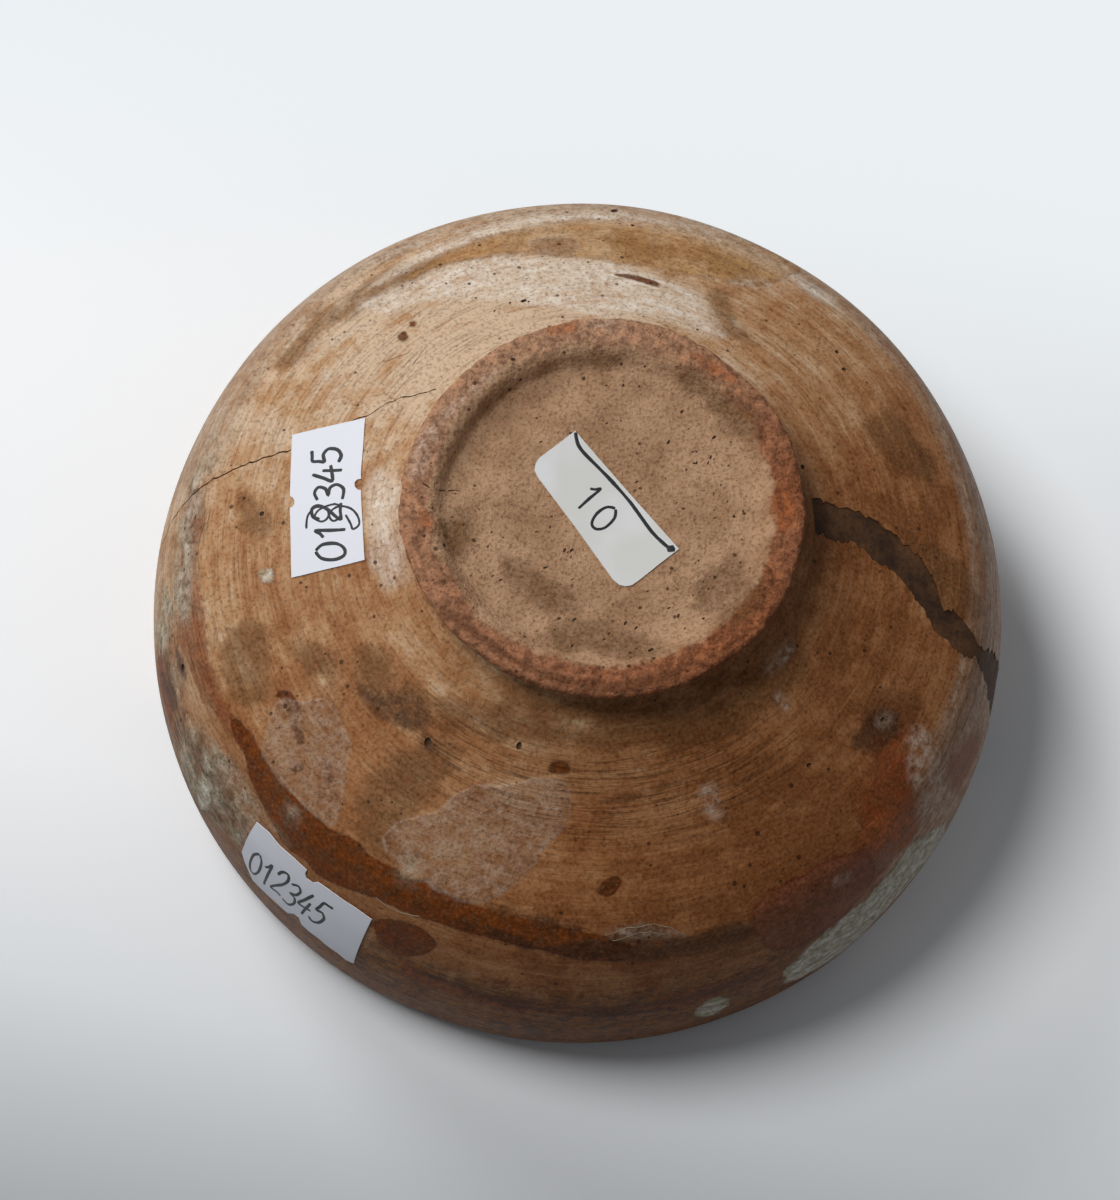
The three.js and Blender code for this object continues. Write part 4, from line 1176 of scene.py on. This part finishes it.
# Uncoated label paper: matte white with the faintest tooth, drawn coarser than real fibres.
paper, tree, shader = new_material("label_paper")
shader.inputs["Base Color"].default_value = colour("#f3f4fc")
shader.inputs["Roughness"].default_value = 0.7
place = add(tree, "TexCoord", output="Object")
tooth = add(tree, "TexNoise", {"Vector": place, "Scale": 1000 / 0.7, "Detail": 3})
bump = add(tree, "Bump", {"Height": tooth, "Distance": 0.02 * MM})
tree.links.new(bump, shader.inputs["Normal"])

# Coated label paper: smooth with a low sheen, a little yellowed by handling.
coated, tree, shader = new_material("coated_label_paper")
shader.inputs["Roughness"].default_value = 0.32
place = add(tree, "TexCoord", output="Object")
handled = add(tree, "TexNoise", {"Vector": place, "Scale": 1000 / 12, "Detail": 2})
handled = add(tree, "MapRange", {"Value": handled, "From Min": 0.4, "From Max": 0.6})
shade = add(tree, "Mix", {0: handled, 6: "#f0f0f0", 7: "#e6e6e1"}, 2, data_type="RGBA")
tree.links.new(shade, shader.inputs["Base Color"])

# Marker ink: blue-black and dry, with hardly a sheen.
pen, tree, shader = new_material("pen_ink")
shader.inputs["Base Color"].default_value = colour("#1b1c22")
shader.inputs["Roughness"].default_value = 0.55

for piece in (body, sherd):
    piece.data.materials[0] = glazed
    piece.data.materials[1] = grime
fill.data.materials[0] = toned
fill.data.materials[1] = toned
for piece, surface in ((lime_lines, lime), (wall_label, paper), (rim_label, paper),
                       (foot_label, coated), *((piece, pen) for piece in inks)):
    piece.data.materials.clear()
    piece.data.materials.append(surface)

# The ground, just under the rim's unevenness.
FLOOR_WIDTH = 6000
FLOOR_DROP = 0.2
bpy.ops.object.select_all(action="DESELECT")
bpy.ops.mesh.primitive_plane_add(size=FLOOR_WIDTH * MM, location=(0, 0, 0))
floor = bpy.context.active_object
floor.name = "floor"
put_points(floor, points_of(floor) - [0, 0, FLOOR_DROP])
# Seamless studio paper: matte, pale and even.
backdrop, tree, shader = new_material("seamless_paper")
shader.inputs["Roughness"].default_value = 0.9
shader.inputs["Specular IOR Level"].default_value = 0.1
ground = add(tree, "TexCoord", output="Object")
place = add(tree, "SeparateXYZ", {0: ground}, "Y")
rays = add(tree, "LightPath").node.outputs
seen = add(tree, "Math", {0: rays["Is Camera Ray"], 1: rays["Is Glossy Ray"]},
           operation="MAXIMUM")
seen = add(tree, "Math", {0: seen, 1: rays["Is Transmission Ray"]}, operation="MAXIMUM")
# Painted shade: the paper turns greyer towards the camera, where the light falls off.
near = add(tree, "MapRange", {"Value": place, "From Min": -0.12, "From Max": -0.04})
shade = add(tree, "ValToRGB", {0: near})
shade.node.color_ramp.elements[0].color = colour("#a6a9ac")
shade.node.color_ramp.elements[1].color = colour("#fbfdff")
shade.node.color_ramp.elements.new(0.25).color = colour("#c4c7ca")
shade.node.color_ramp.elements.new(0.5).color = colour("#e2e5e8")
# Only the camera and gloss see it so white. The bowl gets the light of a duller paper.
shade = add(tree, "Mix", {0: seen, 6: "#a9abad", 7: shade}, 2, data_type="RGBA")
tree.links.new(shade, shader.inputs["Base Color"])
extra = add(tree, "Mix", {0: seen, 6: "#000000", 7: "#777777"}, 2, data_type="RGBA")
white = add(tree, "BsdfDiffuse", {"Color": extra})
white = add(tree, "AddShader", {0: shader.outputs[0], 1: white})
# The far part of the paper, and all of it well away from the bowl, is as bright as in a studio
# where it curves up under its own light.
far = add(tree, "MapRange", {"Value": place, "From Min": 0.03, "From Max": 0.12},
          interpolation_type="SMOOTHSTEP")
beyond = add(tree, "VectorMath", {0: ground}, "Value", operation="LENGTH")
beyond = add(tree, "MapRange", {"Value": beyond, "From Min": 0.2, "From Max": 0.42},
             interpolation_type="SMOOTHSTEP")
far = add(tree, "Math", {0: far, 1: beyond}, operation="MAXIMUM")
lift = add(tree, "Math", {0: far, 1: seen}, operation="MULTIPLY")
glow = add(tree, "Emission", {"Color": "#ebf0f3", "Strength": 1.0})
mixed = add(tree, "MixShader", {0: lift, 1: white, 2: glow})
tree.links.new(mixed, tree.nodes["Material Output"].inputs["Surface"])
floor.data.materials.append(backdrop)

# A softbox high on the left of the bowl, one lower down behind it, and a card on the right.
# [name, direction, rise, distance in mm, width across in mm, watts]
LAMPS = [["key_softbox", 177, 63, 1000, 380, 4.5],
         ["back_softbox", 140, 36, 1200, 420, 3.8],
         ["white_card", 45, 24, 1000, 700, 0.4]]
for name, direction, rise, away, width, watts in LAMPS:
    light = bpy.data.lights.new(name, "AREA")
    light.shape = "DISK"
    light.size = width * MM
    light.energy = watts
    lamp = bpy.data.objects.new(name, light)
    bpy.context.collection.objects.link(lamp)
    a, e = math.radians(direction), math.radians(rise)
    lamp.location = Vector((math.cos(a) * math.cos(e), math.sin(a) * math.cos(e), math.sin(e)))
    lamp.location *= away * MM
    lamp.rotation_euler = (-lamp.location).to_track_quat("-Z", "Y").to_euler()

world = bpy.data.worlds.new("studio")
bpy.context.scene.world = world
world.use_nodes = True
world.node_tree.nodes["Background"].inputs["Color"].default_value = colour("#eef4fa")
world.node_tree.nodes["Background"].inputs["Strength"].default_value = 0.13

# The photograph's own view: 20 degrees off straight down and rolled a little, from 600 mm away.
CAMERA_PLACE = (0, -205.2, 563.8)
CAMERA_TURN = (20.436, -4.032, 11.739)
camera_data = bpy.data.cameras.new("camera")
camera_data.sensor_fit = "HORIZONTAL"
camera_data.sensor_width = 36
camera_data.lens = 105.65
camera_data.clip_start = 0.05
camera = bpy.data.objects.new("camera", camera_data)
bpy.context.collection.objects.link(camera)
camera.location = Vector(CAMERA_PLACE) * MM
camera.rotation_euler = [math.radians(v) for v in CAMERA_TURN]
bpy.context.scene.camera = camera
bpy.context.scene.view_settings.view_transform = "Standard"
